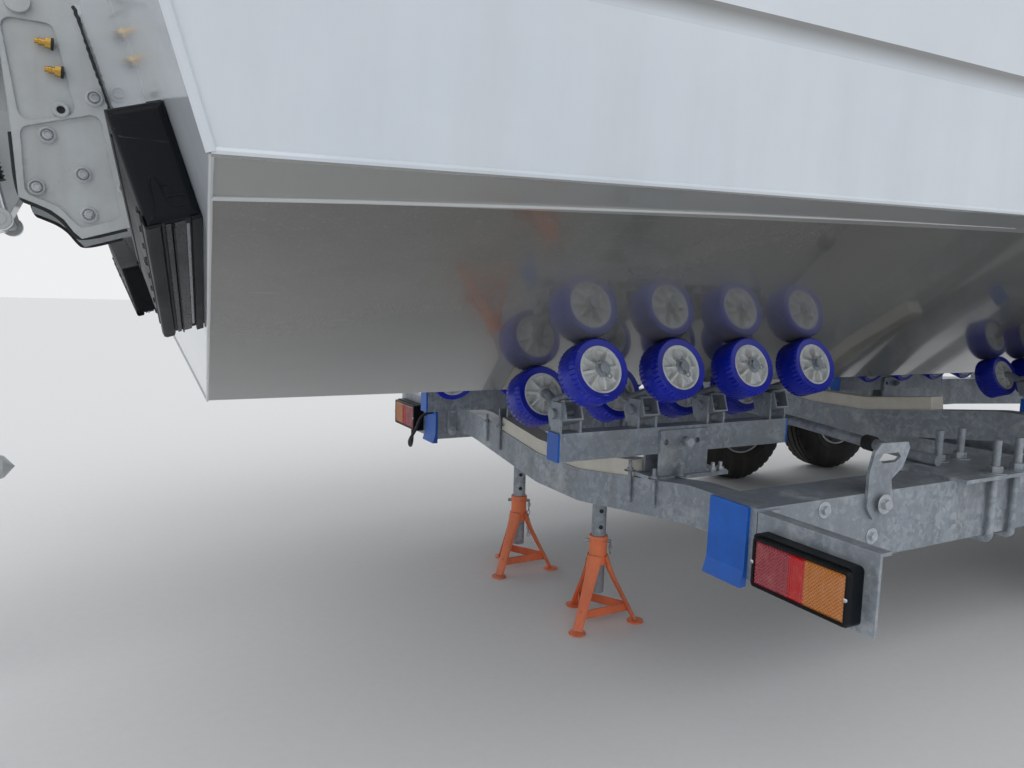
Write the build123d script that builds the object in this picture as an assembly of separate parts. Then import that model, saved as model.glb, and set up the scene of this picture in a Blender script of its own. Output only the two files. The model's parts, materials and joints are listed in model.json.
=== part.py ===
from build123d import *
from math import atan, cos, degrees, hypot, radians, sin
import os

# A planing speedboat with an outboard engine, on its tandem-axle roller trailer and two axle stands.
# Working frame: X towards the bow, Y to port, Z up, zero at the keel's corner with the transom.
# The finished pieces are set down on the floor, with the origin under the middle of the outfit.

os.makedirs("parts", exist_ok=True)

# Gap between pieces that rest on each other or turn in each other
seat_fit = 0.3

# Hull
keel_above_floor = 675.0
deadrise_slope = 0.35
transom_rake_slope = 0.31
moulded_step_z = 605.0
moulded_step_height = 28.0
moulded_step_width = 10.0
parallel_end_x = 3400.0
deck_edge_width = 45.0
deck_edge_height = 42.0
rub_rail_depth = 20.0
rub_rail_drop = 34.0
rub_rail_rise = 14.0
bow_rail_r = 12.5
bow_rail_foot_r = 32.0

# Cockpit, well and lockers
cockpit_aft_x = 430.0
cockpit_fore_x = 3300.0
cockpit_aft_half = 960.0
cockpit_half = 1060.0
cockpit_taper_x = 1400.0
cockpit_corner_r = 120.0
sole_z = 430.0
coaming_lip = 18.0
well_half = 430.0
well_fore_x = 330.0
well_floor_z = 620.0
transom_top_z = 770.0
transom_wall = 70.0
hatch_x = 4900.0
hatch_length = 560.0
hatch_width = 560.0
hatch_thickness = 32.0
hatch_gap = 6.0
hatch_ledge = 30.0
locker_depth = 330.0

# Windscreen and helm
screen_thickness = 10.0
screen_height = 330.0
screen_rake = 210.0
screen_lean = 60.0
screen_rail = 26.0
screen_post_r = 9.0
console_width = 700.0
console_y = -590.0
console_aft_x = 2820.0
console_top_z = 1010.0
helm_wheel_r = 175.0
helm_wheel_rim_r = 14.0
helm_wheel_lean = 28.0
helm_boss_height = 46.0
helm_boss_top = 3.0

# Seats
seat_width = 520.0
seat_depth = 480.0
seat_pad_height = 110.0
seat_x = 2250.0
seat_y = 590.0
seat_base_height = 400.0
seat_back_height = 520.0
bench_depth = 480.0
bench_height = 360.0
cushion_round = 24.0

# Outboard engine
bracket_half = 190.0
bracket_plate = 28.0
recess_round = 18.0
tilt_axis_x = -345.0
tilt_axis_z = 800.0
tilt_tube_r = 22.0
steer_axis_x = -500.0
steer_tube_r = 48.0
steer_tube_low_z = 300.0
steer_tube_high_z = 870.0
steer_gap = 0.5
leg_half = 68.0
gearcase_z = -130.0
gearcase_r = 58.0
gearcase_aft_x = -920.0
propeller_r = 178.0
propeller_x = -985.0
shaft_r = 14.0
cowl_low_z = 980.0
cowl_high_z = 1600.0
cowl_wall = 12.0
cowl_fore_x = -330.0
cowl_aft_x = -900.0
cowl_foot_half = 190.0
pan_depth = 25.0

# Trim interceptors on the transom's lower edge
trim_inner_y = 523.0
trim_outer_y = 967.0
trim_lift = 24.0
trim_depth = 65.0
trim_height = 138.0
trim_blade = 4.0
trim_slot = 4.6
trim_slot_fore = 14.0
trim_end = 20.0

# Trailer frame
rail_outer_y = 892.0
rail_width = 125.0
rail_top_z = -140.0
rail_height = 152.0
rail_aft_x = 930.0
rail_bend_x = 4300.0
rail_meet_x = 6750.0
lamp_lead_r = 6.0
lamp_bracket_outer_y = 1170.0
drawbar_half = 60.0
coupling_x = 7700.0
socket_r = 25.4
cross_width = 75.0
cross_height = 95.0
cross_hang = 31.0
cross_dip = 62.0
cross_kink_y = 120.0
cross_shoulder_y = 600.0
skid_thickness = 45.0
skid_width = 66.0
skid_half = 378.0

# Roller cradles
roller_r = 76.0
roller_width = 75.0
roller_bore_r = 55.0
roller_gap = 0.3
roller_pitch = 232.0
roller_outer_reach = 567.0
roller_inner_reach = 303.0
roller_pin_r = 11.5
roller_pin_stub = 14.0
axle_dip = 30.0
carrier_size = 50.0
carrier_wall = 4.0
carrier_length = 80.0
carrier_reach = 387.0
carrier_bolt_r = 8.0
upright_thickness = 6.0
upright_height = 74.0
rocker_outer_y = 445.0
rocker_width = 50.0
rocker_height = 70.0
rocker_top_z = -52.0
rocker_length = 760.0
rocker_fore_shift = 72.0
pivot_drop = 39.0
cheek_thickness = 9.0
cheek_half = 80.0
cheek_hole_r = 8.0
cap_length = 6.0
clamp_plate = 9.0
cross_tube_x = 1660.0
cross_tube_r = 15.0
cross_tube_rise = 54.0

# Wheels
wheel_r = 325.0
tyre_width = 185.0
rim_r = 178.0
wheel_y = 1075.0
axle_pitch = 750.0
aft_axle_x = 2800.0
spindle_r = 18.0
mudguard_gap = 70.0
mudguard_wall = 5.0

# Jockey wheel and winch post
jockey_x = 7150.0
jockey_y = 150.0
jockey_wheel_r = 105.0
jockey_wheel_width = 64.0
jockey_column_r = 28.0
jockey_pin_r = 8.0
post_x = 6900.0
post_half = 45.0
post_top_z = 640.0
bow_stop_x = 6400.0
bow_stop_length = 140.0

# Stands under the rear crossmember
stand_ys = (-185.0, 300.0)
stand_pipe_r = 21.0
stand_collar_r = 26.0
stand_spread = 118.0

slope_angle = degrees(atan(deadrise_slope))
floor_z = -keel_above_floor
bench_half = cockpit_aft_half - cockpit_corner_r
wheel_z = floor_z + wheel_r
rail_inner_y = rail_outer_y - rail_width
rail_mid_y = rail_outer_y - rail_width / 2
rail_bottom_z = rail_top_z - rail_height

# Half of the windscreen's plan, from the port wing's end round to the front.
screen_plan = [(2480.0, 1085.0), (3150.0, 1085.0), (3560.0, 760.0), (3700.0, 320.0)]

# Stations where the bottom is a true plane.
# x, inner chine y, outer chine y, rise between them, moulded step y, sheer y, sheer z, deck camber
aft_stations = [
    (-480.0, 1009.0, 1112.0, 46.0, 1160.0, 1166.0, 1000.0, 58.0),
    (900.0, 1165.0, 1237.0, 17.0, 1243.0, 1250.0, 1012.0, 62.0),
    (2150.0, 1222.0, 1262.0, 20.0, 1268.0, 1276.0, 1040.0, 80.0),
    (parallel_end_x, 1195.0, 1235.0, 20.0, 1246.0, 1268.0, 1085.0, 110.0),
]

# Stations of the bow, where the keel rises into the stem.
# x, keel z, inner chine y, z, outer chine y, z, step y, z, sheer y, z, deck camber
bow_stations = [
    (4300.0, 22.0, 1075.0, 452.0, 1116.0, 474.0, 1160.0, 640.0, 1205.0, 1130.0, 120.0),
    (5150.0, 122.0, 800.0, 542.0, 838.0, 566.0, 925.0, 724.0, 1012.0, 1172.0, 116.0),
    (5850.0, 332.0, 455.0, 690.0, 486.0, 716.0, 590.0, 856.0, 692.0, 1205.0, 92.0),
    (6300.0, 640.0, 165.0, 880.0, 186.0, 904.0, 258.0, 996.0, 330.0, 1226.0, 58.0),
    (6480.0, 900.0, 42.0, 1022.0, 50.0, 1038.0, 70.0, 1088.0, 96.0, 1236.0, 36.0),
]


def box(x_range, y_range, z_range):
    sizes = [high - low for low, high in (x_range, y_range, z_range)]
    middle = [(high + low) / 2 for low, high in (x_range, y_range, z_range)]
    return Pos(*middle) * Box(*sizes)


def prism(points, axis, low, high):
    # An outline of (a, b) pairs in the other two axes, in X, Y, Z order, carried from low to high.
    corners = {
        "x": [(low, a, b) for a, b in points],
        "y": [(a, low, b) for a, b in points],
        "z": [(a, b, low) for a, b in points],
    }[axis]
    direction = {"x": (1, 0, 0), "y": (0, 1, 0), "z": (0, 0, 1)}[axis]
    return extrude(Face(Wire.make_polygon(corners, close=True)), amount=high - low, dir=direction)


def bar(start, end, radius):
    # A round bar from one point to another.
    start = Vector(*start)
    end = Vector(*end)
    plane = Plane(origin=start, z_dir=end - start)
    return extrude(plane * Circle(radius), amount=(end - start).length)


def bent_bar(points, radius, bend):
    # A round bar along straight runs joined by arcs.
    path = Wire(FilletPolyline(*points, radius=bend).edges())
    start = Plane(origin=path @ 0, z_dir=path % 0)
    return sweep(start * Circle(radius), path=path)


def across(shape):
    return mirror(shape, about=Plane.XZ)


def both_sides(shapes):
    shapes = list(shapes)
    return shapes + [across(shape) for shape in shapes]


def solids_of(shapes):
    found = []
    for shape in shapes:
        found.extend(shape.solids())
    return found


def on_bottom(reach, drop):
    # A point under the hull's port bottom: reach up the slope from the keel, then drop square to it.
    angle = radians(slope_angle)
    return (reach * cos(angle) + drop * sin(angle), reach * sin(angle) - drop * cos(angle))


def section_face(x, port_points):
    # A closed cross-section from its port side, which starts at the keel and ends on the centreline.
    starboard = [(-y, z) for y, z in reversed(port_points[1:-1])]
    corners = [(x, y, z) for y, z in port_points + starboard]
    return Face(Wire.make_polygon(corners, close=True))


def hull_points(keel_z, inner, outer, step, sheer, camber):
    step_top = (step[0] + moulded_step_width, step[1] + moulded_step_height)
    deck_edge = (sheer[0] - min(deck_edge_width, sheer[0] / 2), sheer[1] + deck_edge_height)
    deck_middle = (0.0, sheer[1] + deck_edge_height + camber)
    return [(0.0, keel_z), inner, outer, step, step_top, sheer, deck_edge, deck_middle]


def aft_section(row):
    x, inner_y, outer_y, rise, step_y, sheer_y, sheer_z, camber = row
    inner = (inner_y, inner_y * deadrise_slope)
    outer = (outer_y, inner[1] + rise)
    points = hull_points(0.0, inner, outer, (step_y, moulded_step_z), (sheer_y, sheer_z), camber)
    return section_face(x, points)


def bow_section(row):
    x, keel_z, inner_y, inner_z, outer_y, outer_z, step_y, step_z, sheer_y, sheer_z, camber = row
    inner = (inner_y, inner_z)
    outer = (outer_y, outer_z)
    points = hull_points(keel_z, inner, outer, (step_y, step_z), (sheer_y, sheer_z), camber)
    return section_face(x, points)


def whole_body():
    # Hull and deck as one closed form, cut off by the raked transom.
    aft = [aft_section(row) for row in aft_stations]
    bow = [aft_section(aft_stations[-1])] + [bow_section(row) for row in bow_stations]
    body = loft(aft) + loft(bow)
    return body - transom_side()


def transom_x(z):
    return -transom_rake_slope * z


def transom_side():
    # Everything aft of the transom's plane.
    low_z, high_z, aft_x = -400.0, 2200.0, -2000.0
    points = [(transom_x(low_z), low_z), (transom_x(high_z), high_z), (aft_x, high_z), (aft_x, low_z)]
    return prism(points, "y", -2000.0, 2000.0)


def sheer_line():
    rows = [(row[0], row[6]) for row in aft_stations] + [(row[0], row[9]) for row in bow_stations]
    end_x = bow_stations[-1][0] + 200.0
    return rows + [(end_x, rows[-1][1])]


def below_sheer():
    line = sheer_line()
    points = line + [(line[-1][0], -400.0), (line[0][0] - 400.0, -400.0), (line[0][0] - 400.0, line[0][1])]
    return prism(points, "y", -2000.0, 2000.0)


def cockpit_space(lip, low, high):
    # The cockpit's plan, made smaller by the lip and carried from low to high.
    points = [
        (cockpit_aft_x + lip, cockpit_aft_half - lip),
        (cockpit_taper_x, cockpit_half - lip),
        (cockpit_fore_x - lip, cockpit_half - lip),
    ]
    outline = points + [(x, -y) for x, y in reversed(points)]
    space = prism(outline, "z", low, high)
    upright = space.edges().filter_by(Axis.Z)
    corners = [edge for edge in upright if abs(edge.center().X - cockpit_taper_x) > 1]
    return fillet(corners, cockpit_corner_r - lip)


def well_space(high):
    # The splash well behind the bench and the notch in the transom where the engine hangs.
    well = box((-800.0, well_fore_x), (-well_half, well_half), (well_floor_z, high))
    wall_points = [
        (transom_x(well_floor_z), well_floor_z),
        (transom_x(well_floor_z) + transom_wall, well_floor_z),
        (transom_x(transom_top_z) + transom_wall, transom_top_z),
        (transom_x(transom_top_z), transom_top_z),
    ]
    return well - prism(wall_points, "y", -well_half, well_half)


def hatch_space(gap, low, high):
    return box(
        (hatch_x - hatch_length / 2 - gap, hatch_x + hatch_length / 2 + gap),
        (-hatch_width / 2 - gap, hatch_width / 2 + gap),
        (low, high),
    )


def sheer_z_at(x):
    line = sheer_line()
    for (x0, z0), (x1, z1) in zip(line, line[1:]):
        if x0 <= x <= x1:
            return z0 + (z1 - z0) * (x - x0) / (x1 - x0)
    return line[-1][1]


def make_hull(body):
    hull = body & below_sheer()
    hull = hull - cockpit_space(0.0, sole_z, 1700.0)
    hull = hull - well_space(1700.0)
    locker_floor = sheer_z_at(hatch_x) - locker_depth
    return hull - hatch_space(-40.0, locker_floor, 1700.0)


def make_deck(body):
    deck = body - below_sheer()
    deck = deck - cockpit_space(coaming_lip, sole_z, 1700.0)
    deck = deck - well_space(1700.0)
    deck = deck - hatch_space(-hatch_ledge, 0.0, 1700.0)
    under_lid = Pos(0, 0, -hatch_thickness - seat_fit) * body
    return deck - (hatch_space(hatch_gap, 0.0, 1700.0) - under_lid)


def make_hatch(body):
    # A lid cut from the deck's own camber, which lies on a ledge round the opening.
    lid = body & hatch_space(0.0, 0.0, 1700.0)
    return lid - Pos(0, 0, -hatch_thickness) * body


def make_rub_rail(body):
    # A band carried along the sheer, a little wider than the hull, with the hull taken out of it.
    rows = [(row[0], row[5], row[6]) for row in aft_stations]
    rows = rows + [(row[0], row[8], row[9]) for row in bow_stations[:-1]]
    last = bow_stations[-1]
    rows.append((last[0] + rub_rail_depth, last[8], last[9]))
    faces = []
    for x, half, z in rows:
        y = half + rub_rail_depth
        low_z = z - rub_rail_drop
        high_z = z + rub_rail_rise
        corners = [(x, -y, low_z), (x, y, low_z), (x, y, high_z), (x, -y, high_z)]
        faces.append(Face(Wire.make_polygon(corners, close=True)))
    aft_count = len(aft_stations)
    band = loft(faces[:aft_count]) + loft(faces[aft_count - 1:])
    return band - body - transom_side() - cockpit_space(-20.0, 0.0, 2000.0) - well_space(2000.0)


def screen_ring(inset, z, aft_shift):
    # The windscreen's plan as a thin closed outline at one height: a broad front and two wings.
    outer = [(x - aft_shift, y - inset) for x, y in screen_plan]
    setbacks = [0.0] + [screen_thickness] * (len(screen_plan) - 1)
    inner = [(x - back, y - screen_thickness) for (x, y), back in zip(outer, setbacks)]
    outline = outer + [(x, -y) for x, y in reversed(outer)]
    outline = outline + [(x, -y) for x, y in inner] + inner[::-1]
    return Face(Wire.make_polygon([(x, y, z) for x, y in outline], close=True))


def screen_base_z():
    return sheer_z_at(3000.0)


def make_screen(body):
    low_z = screen_base_z()
    high_z = low_z + deck_edge_height + screen_height
    glass = loft([screen_ring(0.0, low_z, 0.0), screen_ring(screen_lean, high_z, screen_rake)], ruled=True)
    return glass - body - make_screen_frame(body)


def make_screen_frame(body):
    # A top rail that sits on the glass, and a post behind each end and the middle of the screen.
    high_z = screen_base_z() + deck_edge_height + screen_height
    rail_inset = 8.0
    ring = screen_ring(screen_lean - rail_inset, high_z, screen_rake - rail_inset)
    rail = extrude(ring, amount=screen_rail, dir=(0, 0, 1))
    foot_z = screen_base_z() - 30.0
    head_z = high_z + screen_rail / 2
    end_x, end_y = screen_plan[0]
    side_foot = (end_x + 26.0, end_y - 7.0, foot_z)
    side_head = (end_x + 26.0 - screen_rake, end_y - 5.0 - screen_lean, head_z)
    side_post = bar(side_foot, side_head, screen_post_r)
    front_x = screen_plan[-1][0] - 6.0
    front_post = bar((front_x, 0.0, foot_z), (front_x - screen_rake, 0.0, head_z), screen_post_r)
    return rail + side_post + across(side_post) + front_post - body


def make_console():
    # A moulded pedestal with a leaning dash, and room for the knees underneath.
    half = console_width / 2
    points = [
        (console_aft_x, sole_z),
        (console_aft_x + 60.0, console_top_z - 150.0),
        (console_aft_x + 40.0, console_top_z - 80.0),
        (console_aft_x + 180.0, console_top_z),
        (cockpit_fore_x, console_top_z + 10.0),
        (cockpit_fore_x, sole_z),
    ]
    console = prism(points, "y", console_y - half, console_y + half)
    knee_half = half - 90.0
    knee_y = (console_y - knee_half, console_y + knee_half)
    knee_z = (sole_z + 120.0, console_top_z - 230.0)
    knees = box((console_aft_x - 10.0, console_aft_x + 190.0), knee_y, knee_z)
    return console - knees


def helm_centre():
    return Vector(console_aft_x - 55.0, console_y, console_top_z - 85.0)


def make_helm_wheel():
    # Rim, three spokes and a boss, modelled flat and then leaned back towards the helm seat.
    rim = Torus(helm_wheel_r, helm_wheel_rim_r)
    boss = Pos(0, 0, helm_boss_top - helm_boss_height / 2) * Cylinder(34.0, helm_boss_height)
    wheel = rim + boss
    for turn in (0, 120, 240):
        spoke = Pos(helm_wheel_r / 2, 0, -4) * Box(helm_wheel_r, 34.0, 8.0)
        wheel = wheel + Rot(0, 0, turn) * spoke
    return helm_placing() * wheel


def helm_placing():
    return Location(helm_centre()) * Rot(0, helm_wheel_lean - 90.0, 0)


def make_helm_column():
    # The short fixed shaft that carries the wheel, from the dash to the boss.
    length = 140.0
    top = helm_boss_top - helm_boss_height - 0.5
    column = helm_placing() * (Pos(0, 0, top - length / 2) * Cylinder(16.0, length))
    return column - make_console()


def make_seat_frames():
    # A pedestal with a tray for each seat, and the moulded bench across the stern.
    frames = []
    tray_top = sole_z + seat_base_height - seat_pad_height
    tray_low = tray_top - 20.0
    for side in (1, -1):
        y = side * seat_y
        foot = Pos(seat_x, y, sole_z + 6.0) * Cylinder(120.0, 12.0)
        post = bar((seat_x, y, sole_z), (seat_x, y, tray_low), 38.0)
        tray = box((seat_x - 200.0, seat_x + 200.0), (y - 190.0, y + 190.0), (tray_low, tray_top))
        frames.append(foot + post + tray)
    bench_x = (cockpit_aft_x, cockpit_aft_x + bench_depth)
    bench = box(bench_x, (-bench_half, bench_half), (sole_z, sole_z + bench_height))
    return frames + [bench]


def make_cushions():
    # A pad and a back for each seat and for the bench, with rounded edges.
    seat_low = sole_z + seat_base_height - seat_pad_height
    back_low = seat_low + seat_pad_height + seat_fit
    # x, height over the pad
    back_outline = [(-240.0, 0.0), (-130.0, 0.0), (-190.0, seat_back_height), (-290.0, seat_back_height)]
    shapes = []
    for side in (1, -1):
        y_range = (side * seat_y - seat_width / 2, side * seat_y + seat_width / 2)
        x_range = (seat_x - seat_depth / 2, seat_x + seat_depth / 2)
        shapes.append(box(x_range, y_range, (seat_low + seat_fit, seat_low + seat_pad_height)))
        shapes.append(Pos(seat_x, 0, back_low) * prism(back_outline, "y", y_range[0], y_range[1]))
    bench_top = sole_z + bench_height
    bench_y = (-bench_half + 10.0, bench_half - 10.0)
    back_x = (cockpit_aft_x + coaming_lip + seat_fit, cockpit_aft_x + 108.0)
    pad_x = (cockpit_aft_x + 110.0, cockpit_aft_x + bench_depth + 20.0)
    shapes.append(box(pad_x, bench_y, (bench_top + seat_fit, bench_top + 100.0)))
    shapes.append(box(back_x, bench_y, (bench_top + seat_fit, bench_top + 330.0)))
    return [fillet(shape.edges(), cushion_round) for shape in shapes]


def make_bow_rail(body):
    # One bent tube round the foredeck on stanchions with round feet.
    # x, y, height over the sheer
    rail_points = [
        (3900.0, 1110.0, 60.0),
        (4080.0, 1085.0, 330.0),
        (5150.0, 890.0, 395.0),
        (5900.0, 560.0, 420.0),
        (6420.0, 140.0, 430.0),
    ]
    upper = [(x, y, sheer_z_at(x) + z) for x, y, z in rail_points]
    path = upper + [(x, -y, z) for x, y, z in reversed(upper)]
    rail = bent_bar(path, bow_rail_r, 60.0)
    for x, y, z in upper[2:]:
        foot = (x - 20.0, y + 10.0, sheer_z_at(x) - 10.0)
        stanchion = bar(foot, (x, y, z), bow_rail_r - 2.0)
        flange_z = sheer_z_at(x) + deck_edge_height + 8.0
        flange = Pos(foot[0], foot[1], flange_z) * Cylinder(bow_rail_foot_r, 30.0)
        rail = rail + stanchion + across(stanchion) + flange + across(flange)
    end_x, end_y, end_z = upper[0]
    end_foot = Pos(end_x, end_y, end_z - 20.0) * Cylinder(bow_rail_foot_r, 60.0)
    return (rail + end_foot + across(end_foot)) - body


def make_deck_fittings(body):
    # Horn cleats on the side decks and foredeck, and the bow eye on the stem.
    fittings = []
    # x, y, height over the sheer of the cleat's foot
    for x, y, lift in [(60.0, 1130.0, 44.0), (4050.0, 1160.0, 48.0)]:
        z = sheer_z_at(x) + lift
        horn = Rot(0, 90, 0) * Cylinder(9.0, 200.0)
        cleat = Pos(x, y, z + 42.0) * horn
        for step in (-34.0, 34.0):
            cleat = cleat + Pos(x + step, y, z + 12.0) * Cylinder(11.0, 64.0)
        fittings.extend([cleat - body, across(cleat - body)])
    eye = Pos(6390.0, 0, 740.0) * Rot(90, 0, 0) * Torus(34.0, 7.0)
    fittings.append(eye - body)
    return fittings


def make_swim_platforms():
    low_z, high_z, aft_x = 775.0, 835.0, -720.0
    points = [
        (transom_x(low_z), low_z),
        (transom_x(high_z), high_z),
        (aft_x, high_z),
        (aft_x + 25.0, low_z + 15.0),
    ]
    platform = prism(points, "y", 500.0, 1090.0)
    corners = [edge for edge in platform.edges() if edge.center().X < aft_x + 30.0 and edge.length < 100.0]
    return both_sides([fillet(corners, 22.0)])


def make_clamp_bracket():
    # Two cast side plates joined by the tilt tube, bolted to the transom and hooked over its top.
    points = [
        (transom_x(812.0), 812.0),
        (transom_x(400.0), 400.0),
        (-169.0, 390.0),
        (-252.0, 363.0),
        (-266.0, 376.0),
        (-282.0, 399.0),
        (-304.0, 416.0),
        (-330.0, 427.0),
        (-357.0, 437.0),
        (-364.0, 560.0),
        (-388.0, 828.0),
        (-330.0, 842.0),
    ]
    plate = prism(points, "y", bracket_half - bracket_plate, bracket_half)
    recesses = [
        [(-289.0, 770.0), (-254.0, 604.0), (-350.0, 582.0), (-376.0, 770.0)],
        [(-214.0, 612.0), (-180.0, 408.0), (-254.0, 384.0), (-290.0, 424.0), (-346.0, 446.0),
         (-350.0, 570.0)],
    ]
    for outline in recesses:
        recess = prism(outline, "y", bracket_half - 6.0, bracket_half + 1.0)
        plate = plate - fillet(recess.edges().filter_by(Axis.Y), recess_round)
    hook = box((-262.0, transom_x(transom_top_z) + transom_wall + 18.0),
               (bracket_half - bracket_plate, bracket_half), (transom_top_z, transom_top_z + 26.0))
    side = plate + hook
    tube_end = bracket_half + 12.0
    tube = bar((tilt_axis_x, -tube_end, tilt_axis_z), (tilt_axis_x, tube_end, tilt_axis_z), tilt_tube_r)
    return side + across(side) + tube


def make_swivel_bracket():
    # Hangs on the tilt tube between the side plates, and holds the steering tube.
    inner = bracket_half - bracket_plate - 12.0
    points = [
        (tilt_axis_x + 34.0, tilt_axis_z + 28.0),
        (tilt_axis_x + 30.0, tilt_axis_z - 60.0),
        (-330.0, 520.0),
        (-400.0, 380.0),
        (steer_axis_x, 360.0),
        (steer_axis_x, 850.0),
        (-420.0, 850.0),
    ]
    web = prism(points, "y", -48.0, 48.0)
    ears = prism(
        [(tilt_axis_x + 34.0, tilt_axis_z + 30.0), (tilt_axis_x + 34.0, tilt_axis_z - 36.0),
         (-430.0, 700.0), (-460.0, 780.0), (-430.0, 846.0)],
        "y", -inner, inner)
    tube = bar((steer_axis_x, 0, steer_tube_low_z), (steer_axis_x, 0, steer_tube_high_z), steer_tube_r)
    bore = bar((tilt_axis_x, -300.0, tilt_axis_z), (tilt_axis_x, 300.0, tilt_axis_z), tilt_tube_r + 0.4)
    return web + ears + tube - bore


def make_leg():
    # Yokes on the steering tube's ends, the midsection, the gearcase with its plates, the skeg and the pan.
    top_yoke = prism(both_edges([(-450.0, 60.0), (-560.0, 90.0), (-800.0, 100.0)]),
                     "z", steer_tube_high_z + steer_gap, cowl_low_z)
    low_yoke = prism(both_edges([(-460.0, 42.0), (-640.0, leg_half - 8.0)]),
                     "z", steer_tube_low_z - 60.0, steer_tube_low_z - steer_gap)
    mid = loft([
        leg_ring(steer_tube_high_z + 20.0, -565.0, -810.0, leg_half + 20.0),
        leg_ring(300.0, -570.0, -770.0, leg_half),
        leg_ring(70.0, -585.0, -800.0, 40.0),
        leg_ring(gearcase_z, -560.0, -830.0, 26.0),
    ], ruled=True)
    plate_edge = [(-560.0, 0.0), (-640.0, 80.0), (-900.0, 120.0), (-985.0, 90.0)]
    plate = prism(both_edges(plate_edge), "z", 62.0, 74.0)
    # x, radius round the propeller shaft
    case_profile = [
        (-400.0, 0.0),
        (-420.0, 24.0),
        (-480.0, 46.0),
        (-560.0, gearcase_r),
        (-780.0, gearcase_r),
        (gearcase_aft_x, 44.0),
        (gearcase_aft_x, 0.0),
    ]
    outline = Polyline(*[(x, gearcase_z + radius) for x, radius in case_profile], close=True)
    case = revolve(Plane.XZ * make_face(outline), Axis((0, 0, gearcase_z), (1, 0, 0)))
    skeg = loft([
        leg_ring(gearcase_z - 40.0, -600.0, -860.0, 9.0),
        leg_ring(gearcase_z - 275.0, -730.0, -850.0, 5.0),
    ], ruled=True)
    pan_ring = cowl_ring(cowl_low_z, cowl_fore_x, cowl_aft_x, cowl_foot_half, 0.0)
    pan = extrude(pan_ring, amount=pan_depth, dir=(0, 0, -1))
    return top_yoke + low_yoke + mid + plate + case + skeg + pan


def both_edges(points):
    # A plan outline from its port edge, fore to aft.
    port = [point for point in points]
    return port + [(x, -y) for x, y in reversed(port) if y != 0.0]


def leg_ring(z, fore_x, aft_x, half):
    # A pointed-oval section of the leg, thickest a third of the way back.
    length = fore_x - aft_x
    points = [
        (fore_x, 0.0),
        (fore_x - 0.12 * length, 0.7 * half),
        (fore_x - 0.35 * length, half),
        (fore_x - 0.7 * length, 0.75 * half),
        (aft_x, 0.12 * half),
    ]
    outline = points + [(x, -y) for x, y in reversed(points[1:])]
    return Face(Wire.make_polygon([(x, y, z) for x, y in outline], close=True))


def cowl_ring(z, fore_x, aft_x, half, inset):
    fore_x = fore_x - inset
    aft_x = aft_x + inset
    half = half - inset
    points = [
        (fore_x, 0.42 * half),
        (fore_x - 0.10 * (fore_x - aft_x), 0.78 * half),
        (fore_x - 0.34 * (fore_x - aft_x), half),
        (fore_x - 0.80 * (fore_x - aft_x), 0.92 * half),
        (aft_x, 0.62 * half),
    ]
    outline = points + [(x, -y) for x, y in reversed(points)]
    return Face(Wire.make_polygon([(x, y, z) for x, y in outline], close=True))


def cowl_form(inset):
    # z, fore x, aft x, half width
    table = [
        (cowl_low_z - inset * 0.5, cowl_fore_x, cowl_aft_x, cowl_foot_half),
        (cowl_low_z + 110.0, -315.0, -960.0, 232.0),
        (1330.0, -325.0, -985.0, 236.0),
        (1500.0, -350.0, -960.0, 214.0),
        (cowl_high_z - inset, -430.0, -860.0, 140.0),
    ]
    return loft([cowl_ring(z, fore, aft, half, inset) for z, fore, aft, half in table])


def make_cowl():
    # An open-bottomed shell that stands on the leg's pan.
    return cowl_form(0.0) - cowl_form(cowl_wall)


def make_engine_block():
    return box((-820.0, -440.0), (-110.0, 110.0), (cowl_low_z, 1440.0))


def make_propeller():
    # Three raked blades twisted on a plain hub, which is bored for the shaft.
    fore = (propeller_x + 62.0, 0, gearcase_z)
    aft = (propeller_x - 60.0, 0, gearcase_z)
    propeller = bar(fore, aft, 46.0)
    # radius, chord, pitch angle, thickness
    blade_table = [(38.0, 96.0, 62.0, 9.0), (105.0, 150.0, 40.0, 7.0), (propeller_r, 70.0, 28.0, 4.0)]
    rings = []
    for radius, chord, angle, thick in blade_table:
        corners = [(-chord / 2, 0, 0), (0, thick, 0), (chord / 2, 0, 0), (0, -thick * 0.2, 0)]
        rings.append(Pos(0, 0, radius) * Rot(0, 0, angle) * Face(Wire.make_polygon(corners, close=True)))
    blade = loft(rings)
    for turn in (90.0, 210.0, 330.0):
        propeller = propeller + Pos(propeller_x, 0, gearcase_z) * Rot(turn, 0, 0) * blade
    return propeller - bar(fore, aft, shaft_r + seat_fit)


def make_prop_shaft():
    # The shaft stands out of the gearcase, and its nut keeps the propeller on.
    end_x = propeller_x - 84.0
    shaft = bar((gearcase_aft_x, 0, gearcase_z), (end_x, 0, gearcase_z), shaft_r)
    nut = bar((propeller_x - 62.0, 0, gearcase_z), (end_x, 0, gearcase_z), shaft_r + 8.0)
    return shaft + nut


def make_trim_housing():
    # A casing along the port half of the transom's lower edge, open below for its blade.
    case = trim_slab(trim_inner_y, trim_outer_y, 0.0, trim_depth, 0.0, trim_height)
    case = fillet([edge for edge in case.edges() if edge.length < trim_height + 20.0], 10.0)
    slot = trim_slab(trim_inner_y + trim_end, trim_outer_y - trim_end, trim_slot_fore,
                     trim_slot_fore + trim_slot, -5.0, trim_height - 8.0)
    return case - slot


def trim_slab(inner_y, outer_y, fore, aft, low, high):
    # A block on the transom with upright ends: low and high are counted up the transom over its lower edge.
    stretch = hypot(1.0, transom_rake_slope)
    corners = []
    for y, up in ((inner_y, low), (outer_y, low), (outer_y, high), (inner_y, high)):
        corners.append((y, y * deadrise_slope * stretch + trim_lift + up))
    rake = degrees(atan(transom_rake_slope))
    return Rot(0, -rake, 0) * prism(corners, "x", -aft, -fore)


def make_trim_blade():
    clearance = (trim_slot - trim_blade) / 2
    fore = trim_slot_fore + clearance
    end = trim_end + 2.0
    aft = fore + trim_blade
    return trim_slab(trim_inner_y + end, trim_outer_y - end, fore, aft, 1.0, trim_height - 14.0)


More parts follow.
